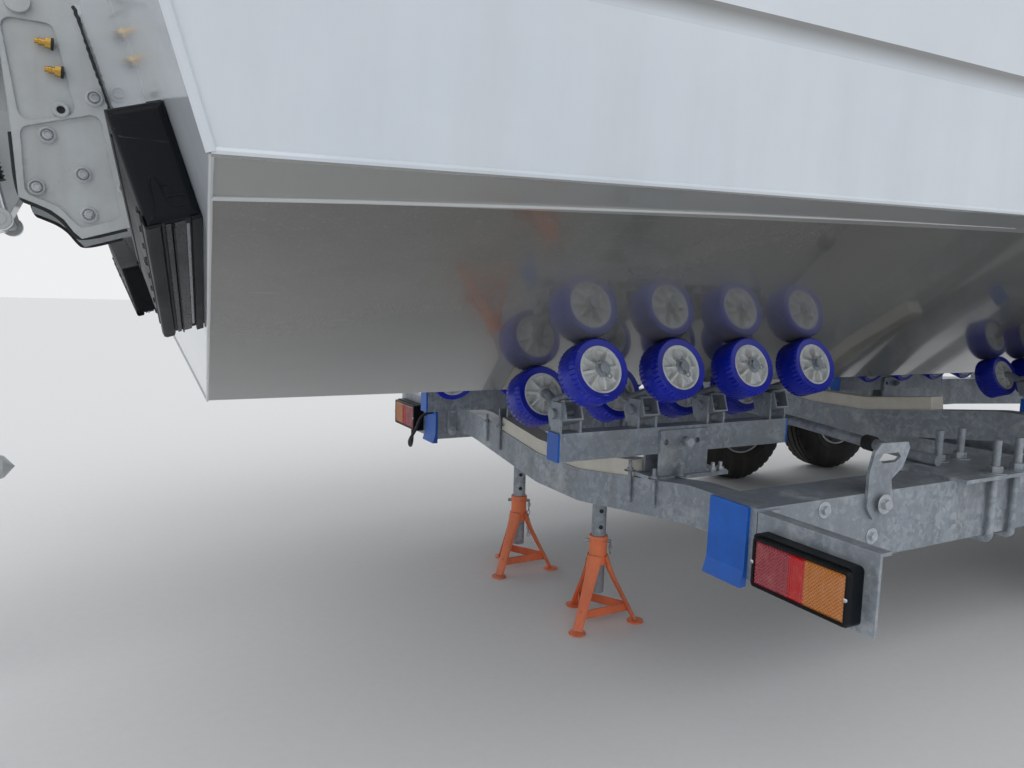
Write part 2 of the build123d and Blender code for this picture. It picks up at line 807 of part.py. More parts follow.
def make_rails():
    # Straight side rails that turn in ahead of the wheels and meet on the drawbar.
    end_y = drawbar_half + 0.35 * rail_width
    run = hypot(rail_meet_x - rail_bend_x, rail_mid_y - end_y)
    lead_y = (rail_mid_y - end_y) / run
    lead_x = (rail_meet_x - rail_bend_x) / run
    half = rail_width / 2
    turn = half * (1 - lead_x) / lead_y
    outer = [(rail_aft_x, rail_mid_y + half), (rail_bend_x + turn, rail_mid_y + half),
             (rail_meet_x + half * lead_y, end_y + half * lead_x)]
    inner = [(rail_meet_x - half * lead_y, end_y - half * lead_x), (rail_bend_x - turn, rail_mid_y - half),
             (rail_aft_x, rail_mid_y - half)]
    rail = prism(outer + inner, "z", rail_bottom_z, rail_top_z)
    drawbar = box((rail_meet_x - 500.0, coupling_x - 120.0), (-drawbar_half, drawbar_half),
                  (rail_bottom_z + 10.0, rail_top_z - 10.0))
    return rail + across(rail) + drawbar


def cross_path(x, lift, half, middle_rise):
    # The crossmember's dipped centreline, from starboard to port.
    drop_z = rail_bottom_z - cross_hang + cross_height / 2 + lift + middle_rise
    shoulder_z = drop_z + cross_dip
    slope = (shoulder_z - drop_z) / (cross_shoulder_y - cross_kink_y)
    if half > cross_shoulder_y:
        side = [(cross_kink_y, drop_z), (cross_shoulder_y, shoulder_z), (half, shoulder_z)]
    else:
        side = [(cross_kink_y, drop_z), (half, drop_z + slope * (half - cross_kink_y))]
    port = [(x, y, z) for y, z in side]
    return [(x, -y, z) for x, y, z in reversed(port)] + port


def cross_bar(x, lift, half, middle_rise, width, height):
    path = Wire(FilletPolyline(*cross_path(x, lift, half, middle_rise), radius=260.0).edges())
    start = Plane(origin=path @ 0, x_dir=(1, 0, 0), z_dir=path % 0)
    return sweep(start * Rectangle(width, height), path=path)


over_rail_lift = rail_height + cross_hang - cross_dip

# x, lift over the rear one
crossmember_table = [(1045.0, 0.0), (2300.0, over_rail_lift), (3090.0, 0.0), (4560.0, over_rail_lift)]
skid_table = [row for row in crossmember_table if row[0] != 3090.0]
cradle_table = [row for row in crossmember_table if row[0] in (1045.0, 3090.0)]


def make_crossmembers():
    bars = []
    for x, lift in crossmember_table:
        half = rail_inner_y if lift == 0 else rail_mid_y
        bars.append(cross_bar(x, lift, half, 0.0, cross_width, cross_height))
    return bars


def make_skids():
    rise = cross_height / 2 + skid_thickness / 2
    skids = []
    for x, lift in skid_table:
        member = cross_bar(x, lift, rail_inner_y, 0.0, cross_width, cross_height)
        skids.append(cross_bar(x, lift, skid_half, rise, skid_width, skid_thickness) - member)
    return skids


def cradle_xs():
    # The rocker beams' pivots stand a little ahead of the crossmembers that carry them.
    return [x + rocker_fore_shift for x, lift in cradle_table]


def station_xs(pivot_x):
    first = pivot_x - 1.5 * roller_pitch
    return [first + index * roller_pitch for index in range(4)]


def make_rollers():
    # Tread and hub of each roller, square to the hull's bottom, on both sides.
    treads, hubs = [], []
    for pivot_x in cradle_xs():
        for x in station_xs(pivot_x):
            for reach in (roller_outer_reach, roller_inner_reach):
                y, z = on_bottom(reach - roller_width / 2, roller_r + roller_gap)
                place = Location((x, y, z)) * Rot(slope_angle - 90.0, 0, 0)
                bore = Cylinder(roller_bore_r, roller_width + 2.0)
                treads.append(place * (Cylinder(roller_r, roller_width) - bore))
                hub = Cylinder(roller_bore_r, roller_width - 4.0) + Cylinder(18.0, roller_width + 6.0)
                hubs.append(place * (hub - Cylinder(roller_pin_r + 0.3, roller_width + 20.0)))
    return both_sides(treads), both_sides(hubs)


def make_roller_axles():
    # A round bar through each pair of rollers, bent down between them to its carrier.
    drop = roller_r + roller_gap
    low = drop + axle_dip
    inner_end = roller_inner_reach - roller_width - roller_pin_stub
    outer_end = roller_outer_reach + roller_pin_stub
    # reach up the slope, drop square to it
    route = [
        (inner_end, drop),
        (roller_inner_reach + 12.0, drop),
        (roller_inner_reach + 42.0, low),
        (roller_outer_reach - roller_width - 42.0, low),
        (roller_outer_reach - roller_width - 12.0, drop),
        (outer_end, drop),
    ]
    axles = []
    for pivot_x in cradle_xs():
        for x in station_xs(pivot_x):
            points = [(x,) + on_bottom(reach, depth) for reach, depth in route]
            axles.append(bent_bar(points, roller_pin_r, 20.0))
    return both_sides(axles)


def carrier_middle():
    # The open tube lies just under the bent bar's low run.
    drop = roller_r + roller_gap + axle_dip + roller_pin_r + seat_fit + carrier_size / 2
    return on_bottom(carrier_reach, drop)


def make_carriers():
    # An open square tube under each bent bar, hung on a fore-and-aft bolt between two uprights.
    y, z = carrier_middle()
    grip = carrier_size / 2 + seat_fit + upright_thickness + seat_fit
    bore_size = carrier_size - 2 * carrier_wall
    carriers = []
    for pivot_x in cradle_xs():
        for x in station_xs(pivot_x):
            tube = Box(carrier_size, carrier_length, carrier_size)
            tube = tube - Box(bore_size, carrier_length + 10.0, bore_size)
            bolt = bar((x - grip - 9.0, y, z), (x + grip + 9.0, y, z), carrier_bolt_r)
            carrier = Location((x, y, z)) * Rot(slope_angle, 0, 0) * tube + bolt
            for side in (1, -1):
                head = bar((x + side * grip, y, z), (x + side * (grip + 9.0), y, z), carrier_bolt_r + 5.0)
                carrier = carrier + head
            carriers.append(carrier)
    return both_sides(carriers)


def make_rockers():
    # Square beams with a pair of uprights for every carrier, and their push-on end caps.
    y, z = carrier_middle()
    y_range = (rocker_outer_y - rocker_width, rocker_outer_y)
    z_range = (rocker_top_z - rocker_height, rocker_top_z)
    upright_y = (y_range[0] + 4.0, y_range[1] - 4.0)
    upright_z = (rocker_top_z, rocker_top_z + upright_height)
    rockers, caps = [], []
    for pivot_x in cradle_xs():
        low_x = pivot_x - rocker_length / 2
        high_x = pivot_x + rocker_length / 2
        rocker = box((low_x, high_x), y_range, z_range)
        for x in station_xs(pivot_x):
            near = carrier_size / 2 + seat_fit
            far = near + upright_thickness
            for low, high in ((-far, -near), (near, far)):
                rocker = rocker + box((x + low, x + high), upright_y, upright_z)
            rocker = rocker - bar((x - far - 5.0, y, z), (x + far + 5.0, y, z), carrier_bolt_r + seat_fit)
        rockers.append(rocker)
        for x_range in ((low_x - cap_length, low_x), (high_x, high_x + cap_length)):
            caps.append(box(x_range, y_range, z_range))
    return both_sides(rockers), both_sides(caps)


def make_cradle_brackets(crossmembers):
    # A base plate on the crossmember, and two cheeks that hold each rocker beam's pivot bolt.
    inner_y = rocker_outer_y - rocker_width
    base_z = (rail_top_z - 48.0, rail_top_z - 38.0)
    # low y, high y, top under the rocker's top
    cheek_table = [
        (rocker_outer_y + seat_fit, rocker_outer_y + seat_fit + cheek_thickness, 8.0),
        (inner_y - seat_fit - cheek_thickness, inner_y - seat_fit, 12.0),
    ]
    brackets = []
    for member_x, pivot_x in zip([row[0] for row in cradle_table], cradle_xs()):
        pivot_z = rocker_top_z - pivot_drop
        base_y = (inner_y - seat_fit - cheek_thickness, rocker_outer_y + 26.0)
        bracket = box((member_x - cross_width / 2, pivot_x + cheek_half + 62.0), base_y, base_z)
        cheek_x = (pivot_x - cheek_half, pivot_x + cheek_half)
        for low_y, high_y, under in cheek_table:
            bracket = bracket + box(cheek_x, (low_y, high_y), (base_z[0], rocker_top_z - under))
        for shift in (-62.0, 42.0):
            # Spare bolt holes in both cheeks, behind and ahead of the pivot.
            hole_ends = [(pivot_x + shift, y, pivot_z) for y in (inner_y - 30.0, rocker_outer_y + 30.0)]
            bracket = bracket - bar(*hole_ends, cheek_hole_r)
        for member in crossmembers:
            bracket = bracket - member
        near = (inner_y - seat_fit, inner_y - seat_fit - cheek_thickness - 14.0)
        far = (rocker_outer_y + seat_fit, rocker_outer_y + seat_fit + cheek_thickness + 14.0)
        for start_y, end_y in (near, far):
            bracket = bracket + bar((pivot_x, start_y, pivot_z), (pivot_x, end_y, pivot_z), 13.0)
        brackets.append(bracket)
    return both_sides(brackets)


def make_cross_tube():
    # A cambered round tube from rail to rail, laid on the clamp plates.
    end_y = rail_outer_y - 92.0
    low_z = rail_top_z + clamp_plate + cross_tube_r + seat_fit
    points = [
        (cross_tube_x, -end_y, low_z),
        (cross_tube_x, -rail_inner_y + 40.0, low_z),
        (cross_tube_x, 0.0, low_z + cross_tube_rise),
        (cross_tube_x, rail_inner_y - 40.0, low_z),
        (cross_tube_x, end_y, low_z),
    ]
    return bent_bar(points, cross_tube_r, 300.0)


def make_rail_caps():
    # Push-on plastic covers of the rails' aft ends, flared along their lower edge.
    low_z = rail_bottom_z - 16.0
    outline = [
        (rail_aft_x, rail_top_z),
        (rail_aft_x - 8.0, rail_top_z),
        (rail_aft_x - 10.0, low_z + 34.0),
        (rail_aft_x - 20.0, low_z),
        (rail_aft_x, low_z),
    ]
    return both_sides([prism(outline, "y", rail_inner_y - 2.0, rail_outer_y - 18.0)])


def make_coupling():
    # Cast ball coupling with its socket open below, on the drawbar's end.
    back_x = coupling_x - 120.0
    middle_z = (rail_top_z + rail_bottom_z) / 2
    top_z = middle_z + 46.0
    body = box((back_x, coupling_x + 40.0), (-42.0, 42.0), (middle_z - 34.0, top_z))
    body = fillet(body.edges().filter_by(Axis.Z), 26.0)
    socket = Pos(coupling_x, 0, middle_z - 12.0) * Sphere(socket_r)
    throat = Pos(coupling_x, 0, middle_z - 42.0) * Cylinder(socket_r, 60.0)
    lever_outline = [
        (back_x + 20.0, top_z),
        (back_x + 60.0, top_z + 34.0),
        (coupling_x + 10.0, top_z + 46.0),
        (coupling_x + 10.0, top_z + 38.0),
        (back_x + 66.0, top_z + 24.0),
        (back_x + 60.0, top_z),
    ]
    return body - socket - throat + prism(lever_outline, "y", -14.0, 14.0)


def make_winch_post():
    # A leaning post on a foot plate, with an arm back to the bow stop.
    low = rail_top_z - 10.0
    outline = [
        (post_x - 60.0, low),
        (post_x + 60.0, low),
        (post_x - 110.0, post_top_z),
        (post_x - 190.0, post_top_z),
    ]
    post = prism(outline, "y", -post_half, post_half)
    base = box((post_x - 130.0, post_x + 130.0), (-58.0, 58.0), (low, low + 12.0))
    arm_x = (bow_stop_x + bow_stop_length / 2, post_x - 140.0)
    arm = box(arm_x, (-30.0, 30.0), (post_top_z - 40.0, post_top_z + 10.0))
    return post + base + arm


def make_winch():
    # A drum between two cheeks bolted to the post's sides, with a crank on the port side.
    drum_x, drum_z = post_x + 5.0, 400.0
    cheek_y = (post_half, post_half + 8.0)
    cheek = box((drum_x - 125.0, drum_x + 55.0), cheek_y, (drum_z - 70.0, drum_z + 70.0))
    drum = bar((drum_x, -post_half - 4.0, drum_z), (drum_x, post_half + 4.0, drum_z), 34.0)
    handle = bar((drum_x, post_half, drum_z), (drum_x, post_half + 65.0, drum_z), 9.0)
    crank_y = (post_half + 55.0, post_half + 63.0)
    crank = box((drum_x - 9.0, drum_x + 9.0), crank_y, (drum_z - 130.0, drum_z + 10.0))
    grip_z = drum_z - 120.0
    grip = bar((drum_x, crank_y[0] + 4.0, grip_z), (drum_x, crank_y[0] + 90.0, grip_z), 13.0)
    return drum + cheek + across(cheek) + handle + crank + grip


def make_bow_stop(body):
    # The rubber block that the stem rests against.
    half = bow_stop_length / 2
    z_range = (post_top_z - 50.0, post_top_z + 50.0)
    block = box((bow_stop_x - half, bow_stop_x + half), (-60.0, 60.0), z_range)
    return block - body


def make_jockey_column():
    # Clamped tube on the drawbar's port side with a winding handle on top.
    top_z = 110.0
    tube = bar((jockey_x, jockey_y, jockey_column_low()), (jockey_x, jockey_y, top_z), jockey_column_r)
    clamp = box((jockey_x - 40.0, jockey_x + 40.0), (drawbar_half, jockey_y - 20.0), (-250.0, -170.0))
    handle_points = [
        (jockey_x, jockey_y, top_z),
        (jockey_x, jockey_y, top_z + 40.0),
        (jockey_x - 110.0, jockey_y, top_z + 40.0),
        (jockey_x - 110.0, jockey_y, top_z + 100.0),
    ]
    return tube + clamp + bent_bar(handle_points, 8.0, 14.0)


def jockey_column_low():
    return floor_z + 2 * jockey_wheel_r + 60.0


def jockey_axle():
    return (jockey_x - 45.0, floor_z + jockey_wheel_r)


def make_jockey_fork():
    # A top plate under the column, two cheeks and the wheel's pin.
    axle_x, axle_z = jockey_axle()
    top = jockey_column_low() - seat_fit
    half = jockey_wheel_width / 2 + 6.0
    reach = half + 6.0
    plate_x = (axle_x - 30.0, jockey_x + jockey_column_r)
    fork = box(plate_x, (jockey_y - reach, jockey_y + reach), (top - 12.0, top))
    outline = [
        (axle_x - 22.0, axle_z - 20.0),
        (axle_x + 22.0, axle_z - 20.0),
        (jockey_x + 24.0, top),
        (axle_x - 26.0, top),
    ]
    for low_y in (jockey_y - reach, jockey_y + half):
        fork = fork + prism(outline, "y", low_y, low_y + 6.0)
    pin_end = reach + 2.0
    pin = bar((axle_x, jockey_y - pin_end, axle_z), (axle_x, jockey_y + pin_end, axle_z), jockey_pin_r)
    return fork + pin


def make_jockey_wheel():
    axle_x, axle_z = jockey_axle()
    wheel = Cylinder(jockey_wheel_r, jockey_wheel_width)
    wheel = fillet(wheel.edges(), 12.0) - Cylinder(jockey_pin_r + seat_fit, jockey_wheel_width + 10.0)
    return Location((axle_x, jockey_y, axle_z)) * Rot(90, 0, 0) * wheel


def make_lamp_brackets():
    # Folded angle behind each lamp, from the rail's end outwards.
    inner_y = rail_outer_y + 2.5
    high_z = rail_top_z - 11.0
    low_z = high_z - 145.0
    web = box((rail_aft_x, rail_aft_x + 6.0), (inner_y, lamp_bracket_outer_y), (low_z, high_z))
    flange = box((rail_aft_x, rail_aft_x + 30.0), (inner_y, lamp_bracket_outer_y), (high_z, high_z + 6.0))
    foot_x = (rail_aft_x + 6.0, rail_aft_x + 60.0)
    foot = box(foot_x, (rail_outer_y, rail_outer_y + 6.0), (low_z + 6.0, high_z + 6.0))
    return both_sides([web + flange + foot])


def make_lamps():
    # A black housing on each bracket, and its lens.
    housing_y = (rail_outer_y + 23.0, rail_outer_y + 250.0)
    housing_z = (rail_top_z - 145.0, rail_top_z - 37.0)
    housing = box((rail_aft_x - 30.0, rail_aft_x), housing_y, housing_z)
    housing = fillet(housing.edges().filter_by(Axis.X), 10.0)
    lens_y = (housing_y[0] + 4.0, housing_y[1] - 4.0)
    lens_z = (housing_z[0] + 4.0, housing_z[1] - 4.0)
    lens = box((rail_aft_x - 42.0, rail_aft_x - 30.0), lens_y, lens_z)
    lens = fillet(lens.edges().filter_by(Axis.X), 8.0)
    return both_sides([housing]), both_sides([lens])


def make_lamp_lead():
    # Cable that hangs in a loop from the port rail's end cap to the underside of the lamp.
    start = (rail_aft_x - 9.0, rail_inner_y + 33.0, rail_top_z - 50.0)
    end = (rail_aft_x - 15.0, rail_outer_y + 108.0, rail_top_z - 145.0 - seat_fit)
    points = [
        start,
        (rail_aft_x - 62.0, rail_inner_y + 62.0, rail_top_z - 108.0),
        (rail_aft_x - 56.0, rail_outer_y + 36.0, rail_top_z - 192.0),
        end,
    ]
    route = Spline(*points, tangents=[(-1, 0, 0), (0, 0, 1)])
    circle = Plane(origin=start, z_dir=(-1, 0, 0)) * Circle(lamp_lead_r)
    return sweep(circle, path=route)


def make_rail_fittings():
    # Lashing lug bolted to each rail's web, and the clamp plate with its two U-bolts further forward.
    # x, z
    lug_outline = [
        (1279.0, -200.0),
        (1325.0, -200.0),
        (1346.0, -172.0),
        (1332.0, -113.0),
        (1370.0, -86.0),
        (1390.0, -44.0),
        (1382.0, -30.0),
        (1290.0, -28.0),
        (1270.0, -46.0),
        (1256.0, -92.0),
        (1256.0, -172.0),
    ]
    slot_outline = [(1284.0, -65.0), (1298.0, -52.0), (1350.0, -52.0), (1360.0, -63.0), (1342.0, -74.0),
                    (1298.0, -74.0)]
    lug = prism(lug_outline, "y", rail_outer_y, rail_outer_y + 8.0)
    lug = lug - prism(slot_outline, "y", rail_outer_y - 5.0, rail_outer_y + 20.0)
    bolt = Pos(1301.0, rail_outer_y + 13.0, -164.0) * Rot(90, 0, 0) * Cylinder(11.0, 10.0)
    plate_y = (rail_inner_y - 66.0, rail_outer_y + 38.0)
    clamp = box((1570.0, 1950.0), plate_y, (rail_top_z, rail_top_z + clamp_plate))
    inner_y = rail_inner_y - 12.0
    outer_y = rail_outer_y + 12.0
    high_z = rail_top_z + 86.0
    low_z = rail_bottom_z - 10.0
    for x in (1728.0, 1824.0):
        route = [(x, inner_y, high_z), (x, inner_y, low_z), (x, outer_y, low_z), (x, outer_y, high_z)]
        clamp = clamp + bent_bar(route, 9.0, 11.0)
    return both_sides([lug + bolt, clamp])


def make_axles():
    # A square beam under the rails for each pair of wheels, with a trailing arm and spindle at each end.
    units = []
    beam_half = rail_outer_y + 10.0
    for index in (0, 1):
        x = aft_axle_x + index * axle_pitch
        beam = box((x + 120.0, x + 180.0), (-beam_half, beam_half), (rail_bottom_z - 60.0, rail_bottom_z))
        outline = [
            (x - 40.0, wheel_z - 34.0),
            (x + 40.0, wheel_z - 34.0),
            (x + 190.0, rail_bottom_z - 70.0),
            (x + 190.0, rail_bottom_z - 4.0),
            (x + 20.0, wheel_z + 36.0),
            (x - 40.0, wheel_z + 36.0),
        ]
        arm = prism(outline, "y", rail_outer_y + 4.0, rail_outer_y + 40.0)
        spindle = bar((x, rail_outer_y + 30.0, wheel_z), (x, wheel_y + 40.0, wheel_z), spindle_r)
        side = arm + spindle
        units.append(beam + side + across(side))
    return units


def wheel_table():
    # name, x, y
    rows = []
    for place, x in (("aft", aft_axle_x), ("fore", aft_axle_x + axle_pitch)):
        rows.append(("starboard_" + place, x, -wheel_y))
        rows.append(("port_" + place, x, wheel_y))
    return rows


def make_tyre():
    # radius, distance out from the middle
    half = tyre_width / 2
    side = [
        (rim_r, half - 18.0),
        (rim_r + 40.0, half),
        (wheel_r - 55.0, half),
        (wheel_r - 14.0, half - 18.0),
        (wheel_r, half - 46.0),
    ]
    points = side + [(radius, -y) for radius, y in reversed(side)]
    return revolve(make_face(Polyline(*points, close=True)), Axis.Y)


def make_rim():
    # Drop-centre rim, dished disc near its outer side, and the bearing hub. Each point is radius, Y.
    half = tyre_width / 2
    bore = spindle_r + seat_fit
    barrel = [
        (rim_r - 8.0, half - 12.0),
        (rim_r, half - 12.0),
        (rim_r, half - 22.0),
        (rim_r - 22.0, 30.0),
        (rim_r - 22.0, -30.0),
        (rim_r, -half + 22.0),
        (rim_r, -half + 12.0),
        (rim_r - 8.0, -half + 12.0),
        (rim_r - 30.0, -34.0),
        (rim_r - 30.0, 34.0),
    ]
    disc = [
        (rim_r - 28.0, 20.0),
        (rim_r - 28.0, 28.0),
        (110.0, 44.0),
        (60.0, 40.0),
        (60.0, 30.0),
        (110.0, 34.0),
    ]
    hub = [
        (bore, -60.0),
        (40.0, -60.0),
        (40.0, 20.0),
        (64.0, 28.0),
        (64.0, 40.0),
        (32.0, 42.0),
        (32.0, 62.0),
        (bore, 62.0),
    ]
    rim = revolve(make_face(Polyline(*barrel, close=True)), Axis.Y)
    rim = rim + revolve(make_face(Polyline(*disc, close=True)), Axis.Y)
    return rim + revolve(make_face(Polyline(*hub, close=True)), Axis.Y)


def mudguard_outline(radius):
    # x, z of a low arch over both wheels, from aft to fore.
    aft_x = aft_axle_x
    fore_x = aft_axle_x + axle_pitch
    # share of the radius beyond the axle, share of the radius above it
    arch = [(1.0, 0.05), (0.92, 0.38), (0.55, 0.83), (0.1, 1.0)]
    aft = [(aft_x - out * radius, wheel_z + up * radius) for out, up in arch]
    fore = [(fore_x + out * radius, wheel_z + up * radius) for out, up in reversed(arch)]
    return aft + fore


def make_mudguards():
    # One sheet over each pair of wheels, with a lip along its outer edge, on two stays from the rail.
    radius = wheel_r + mudguard_gap
    low_y = wheel_y - 100.0
    high_y = wheel_y + 108.0
    outer = mudguard_outline(radius)
    inner = mudguard_outline(radius - mudguard_wall)
    lip_inner = mudguard_outline(radius - 30.0)
    guard = prism(outer + inner[::-1], "y", low_y, high_y)
    guard = guard + prism(outer + lip_inner[::-1], "y", high_y - mudguard_wall, high_y)
    under_z = wheel_z + radius - mudguard_wall
    for x in (aft_axle_x + 100.0, aft_axle_x + axle_pitch - 100.0):
        stay_x = (x - 20.0, x + 20.0)
        stay = box(stay_x, (rail_outer_y, low_y + 60.0), (under_z - 6.0, under_z))
        drop = box(stay_x, (rail_outer_y, rail_outer_y + 6.0), (rail_bottom_z + 40.0, under_z))
        guard = guard + stay + drop
    return both_sides([guard])


def make_stands(crossmembers):
    # Pin-type tripod stands: a grey pipe in an orange collar on three legs tied low down by flat braces.
    frames, pipes = [], []
    for stand_y in stand_ys:
        frame, pipe = make_stand(crossmember_table[0][0], stand_y, crossmembers[0])
        frames.append(frame)
        pipes.append(pipe)
    return frames, pipes


def make_stand(x, y, member):
    collar_top = floor_z + 235.0
    collar_low = floor_z + 150.0
    pad_height = 8.0
    bore = bar((x, y, floor_z), (x, y, 0.0), stand_pipe_r)
    pipe = bar((x, y, floor_z + 90.0), (x, y, rail_bottom_z + 40.0), stand_pipe_r) - member
    pipe = min(pipe.solids(), key=lambda solid: solid.center().Z)
    frame = bar((x, y, collar_low), (x, y, collar_top), stand_collar_r)
    feet = []
    for turn in (90.0, 210.0, 330.0):
        angle = radians(turn)
        foot = (x + stand_spread * cos(angle), y + stand_spread * sin(angle))
        top = (x + 32.0 * cos(angle), y + 32.0 * sin(angle), collar_top - 20.0)
        frame = frame + bar(top, foot + (floor_z + pad_height,), 13.0)
        frame = frame + bar(foot + (floor_z,), foot + (floor_z + pad_height,), 28.0)
        feet.append(foot)
    for (ax, ay), (bx, by) in zip(feet, feet[1:] + feet[:1]):
        # Each brace runs from leg to leg a quarter of the way up.
        brace = Plane(origin=(ax, ay, floor_z + 46.0), x_dir=(0, 0, 1), z_dir=(bx - ax, by - ay, 0))
        frame = frame + extrude(brace * Rectangle(24.0, 5.0), amount=hypot(bx - ax, by - ay))
    return frame - bore, pipe


def build_nodes():
    body = whole_body()
    crossmembers = make_crossmembers()
    treads, hubs = make_rollers()
    rockers, rocker_caps = make_rockers()
    housings, lenses = make_lamps()
    stand_frames, stand_pipes = make_stands(crossmembers)
    trim_housing = make_trim_housing()
    trim_blade = make_trim_blade()
    nodes = {
        "hull": [make_hull(body)],
        "deck": [make_deck(body)],
        "rub_rail": [make_rub_rail(body)],
        "windscreen_glass": [make_screen(body)],
        "windscreen_frame": [make_screen_frame(body)],
        "helm_console": [make_console()],
        "helm_column": [make_helm_column()],
        "helm_wheel": [make_helm_wheel()],
        "seat_frames": make_seat_frames(),
        "seat_cushions": make_cushions(),
        "bow_rail": [make_bow_rail(body)],
        "deck_fittings": make_deck_fittings(body),
        "deck_hatch": [make_hatch(body)],
        "swim_platforms": make_swim_platforms(),
        "trim_housings": [trim_housing, across(trim_housing)],
        "trim_blade_port": [trim_blade],
        "trim_blade_starboard": [across(trim_blade)],
        "clamp_bracket": [make_clamp_bracket()],
        "swivel_bracket": [make_swivel_bracket()],
        "outboard_leg": [make_leg()],
        "outboard_cowl": [make_cowl()],
        "engine_block": [make_engine_block()],
        "propeller_shaft": [make_prop_shaft()],
        "propeller": [make_propeller()],
        "trailer_rails": [make_rails()],
        "crossmembers": crossmembers,
        "keel_skids": make_skids(),
        "roller_treads": treads,
        "roller_hubs": hubs,
        "roller_axles": make_roller_axles(),
        "roller_carriers": make_carriers(),
        "rocker_beams": rockers,
        "rocker_brackets": make_cradle_brackets(crossmembers),
        "cross_tube": [make_cross_tube()],
        "end_caps": rocker_caps + make_rail_caps(),
        "coupling_head": [make_coupling()],
        "winch_post": [make_winch_post()],
        "winch": [make_winch()],
        "bow_stop": [make_bow_stop(body)],
        "jockey_column": [make_jockey_column()],
        "jockey_fork": [make_jockey_fork()],
        "jockey_wheel": [make_jockey_wheel()],
        "lamp_brackets": make_lamp_brackets(),
        "lamp_housings": housings,
        "lamp_lead": make_lamp_lead(),
        "lamp_lenses": lenses,
        "rail_fittings": make_rail_fittings(),
        "axle_units": make_axles(),
        "mudguards": make_mudguards(),
        "stand_frames": stand_frames,
        "stand_pipes": stand_pipes,
    }
    tyre = make_tyre()
    rim = make_rim()
    for name, x, y in wheel_table():
        side = 1 if y > 0 else -1
        wheel_place = Location((x, y, wheel_z)) * Rot(0, 0, 0 if side > 0 else 180)
        nodes["tyre_" + name] = [wheel_place * tyre]
        nodes["rim_" + name] = [wheel_place * rim]
    return nodes


def overall_middle(nodes):
    low, high = 1e9, -1e9
    for shapes in nodes.values():
        for shape in shapes:
            bounds = shape.bounding_box()
            low = min(low, bounds.min.X)
            high = max(high, bounds.max.X)
    return (low + high) / 2


nodes = build_nodes()
middle_x = overall_middle(nodes)
setting_down = Pos(-middle_x, 0, keel_above_floor)
print("keel corner stands at x", round(-middle_x, 3))

for name, shapes in nodes.items():
    solids = [setting_down * solid for solid in solids_of(shapes)]
    piece = solids[0] if len(solids) == 1 else Compound(solids)
    export_step(piece, "parts/" + name + ".step")
    print(name, len(solids), "solids")
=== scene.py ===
import bpy
import bmesh
import json
import math
import numpy as np
from functools import reduce
from mathutils import Matrix, Vector
from mathutils.bvhtree import BVHTree


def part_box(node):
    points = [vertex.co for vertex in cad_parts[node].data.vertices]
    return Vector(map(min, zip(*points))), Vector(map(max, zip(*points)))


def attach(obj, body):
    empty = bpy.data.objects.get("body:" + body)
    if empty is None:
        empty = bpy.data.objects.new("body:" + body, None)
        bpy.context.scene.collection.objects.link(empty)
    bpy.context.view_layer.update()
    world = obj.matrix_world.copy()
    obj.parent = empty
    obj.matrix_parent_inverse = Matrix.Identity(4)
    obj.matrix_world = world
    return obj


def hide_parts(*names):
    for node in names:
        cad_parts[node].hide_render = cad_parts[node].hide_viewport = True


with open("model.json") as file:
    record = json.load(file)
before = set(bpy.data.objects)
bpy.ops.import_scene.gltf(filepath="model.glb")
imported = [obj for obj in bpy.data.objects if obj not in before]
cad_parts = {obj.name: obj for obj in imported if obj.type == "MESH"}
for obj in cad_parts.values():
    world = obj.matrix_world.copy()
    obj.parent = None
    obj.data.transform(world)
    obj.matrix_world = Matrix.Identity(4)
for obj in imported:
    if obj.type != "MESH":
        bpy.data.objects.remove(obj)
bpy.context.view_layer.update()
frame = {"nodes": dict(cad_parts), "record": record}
nodes = frame["nodes"]

# Hull and trailer are drawn from the keel's corner under the transom, which stands over the floor.
keelHeight = 0.675
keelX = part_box("trailer_rails")[0].x - 0.93
keelPlace = np.array([keelX, 0, keelHeight])
bottomSlope, transomSlope = 0.35, 0.31
slopeCos, slopeSin = math.cos(math.atan(bottomSlope)), math.sin(math.atan(bottomSlope))
randomBits = np.random.default_rng(7)
tau = 2 * np.pi
print("frame loaded, keel corner at", round(keelX, 4))

cameraLook = {"yaw": 61.62, "pitch": 6.48, "roll": -1.59, "place": (-0.2235, -1.9729, 0.2703),
              "lensPixels": 763.15, "imagePixels": 1024, "sensor": 36}


def aimCamera(look):
    # Turns the camera by yaw, then down by pitch, then rolls it about its own line of sight.
    camera = bpy.data.objects.new("Camera", bpy.data.cameras.new("Camera"))
    bpy.context.scene.collection.objects.link(camera)
    yaw, pitch, roll = (math.radians(look[key]) for key in ("yaw", "pitch", "roll"))
    ahead = Vector((math.cos(pitch) * math.cos(yaw), math.cos(pitch) * math.sin(yaw), -math.sin(pitch)))
    level = Vector((math.sin(yaw), -math.cos(yaw), 0))
    under = ahead.cross(level)
    side = math.cos(roll) * level + math.sin(roll) * under
    down = -math.sin(roll) * level + math.cos(roll) * under
    turn = Matrix((side, -down, -ahead)).transposed().to_4x4()
    turn.translation = Vector(look["place"]) + Vector(keelPlace)
    camera.matrix_world = turn
    camera.data.sensor_width = look["sensor"]
    camera.data.lens = look["lensPixels"] / look["imagePixels"] * look["sensor"]
    camera.data.clip_end = 300
    bpy.context.scene.camera = camera


aimCamera(cameraLook)
bpy.context.scene.view_settings.view_transform = "Standard"


def addNode(tree, kind, inputs={}, **settings):
    # Adds a node, sets its options, then links or sets its inputs; without a tree, a linked input's tree is used.
    sockets = [value for value in inputs.values() if isinstance(value, bpy.types.NodeSocket)]
    tree = tree or sockets[0].id_data
    node = tree.nodes.new("ShaderNode" + kind)
    for key, value in settings.items():
        setattr(node, key, value)
    for key, value in inputs.items():
        if value in sockets:
            tree.links.new(value, node.inputs[key])
        else:
            node.inputs[key].default_value = value
    return node


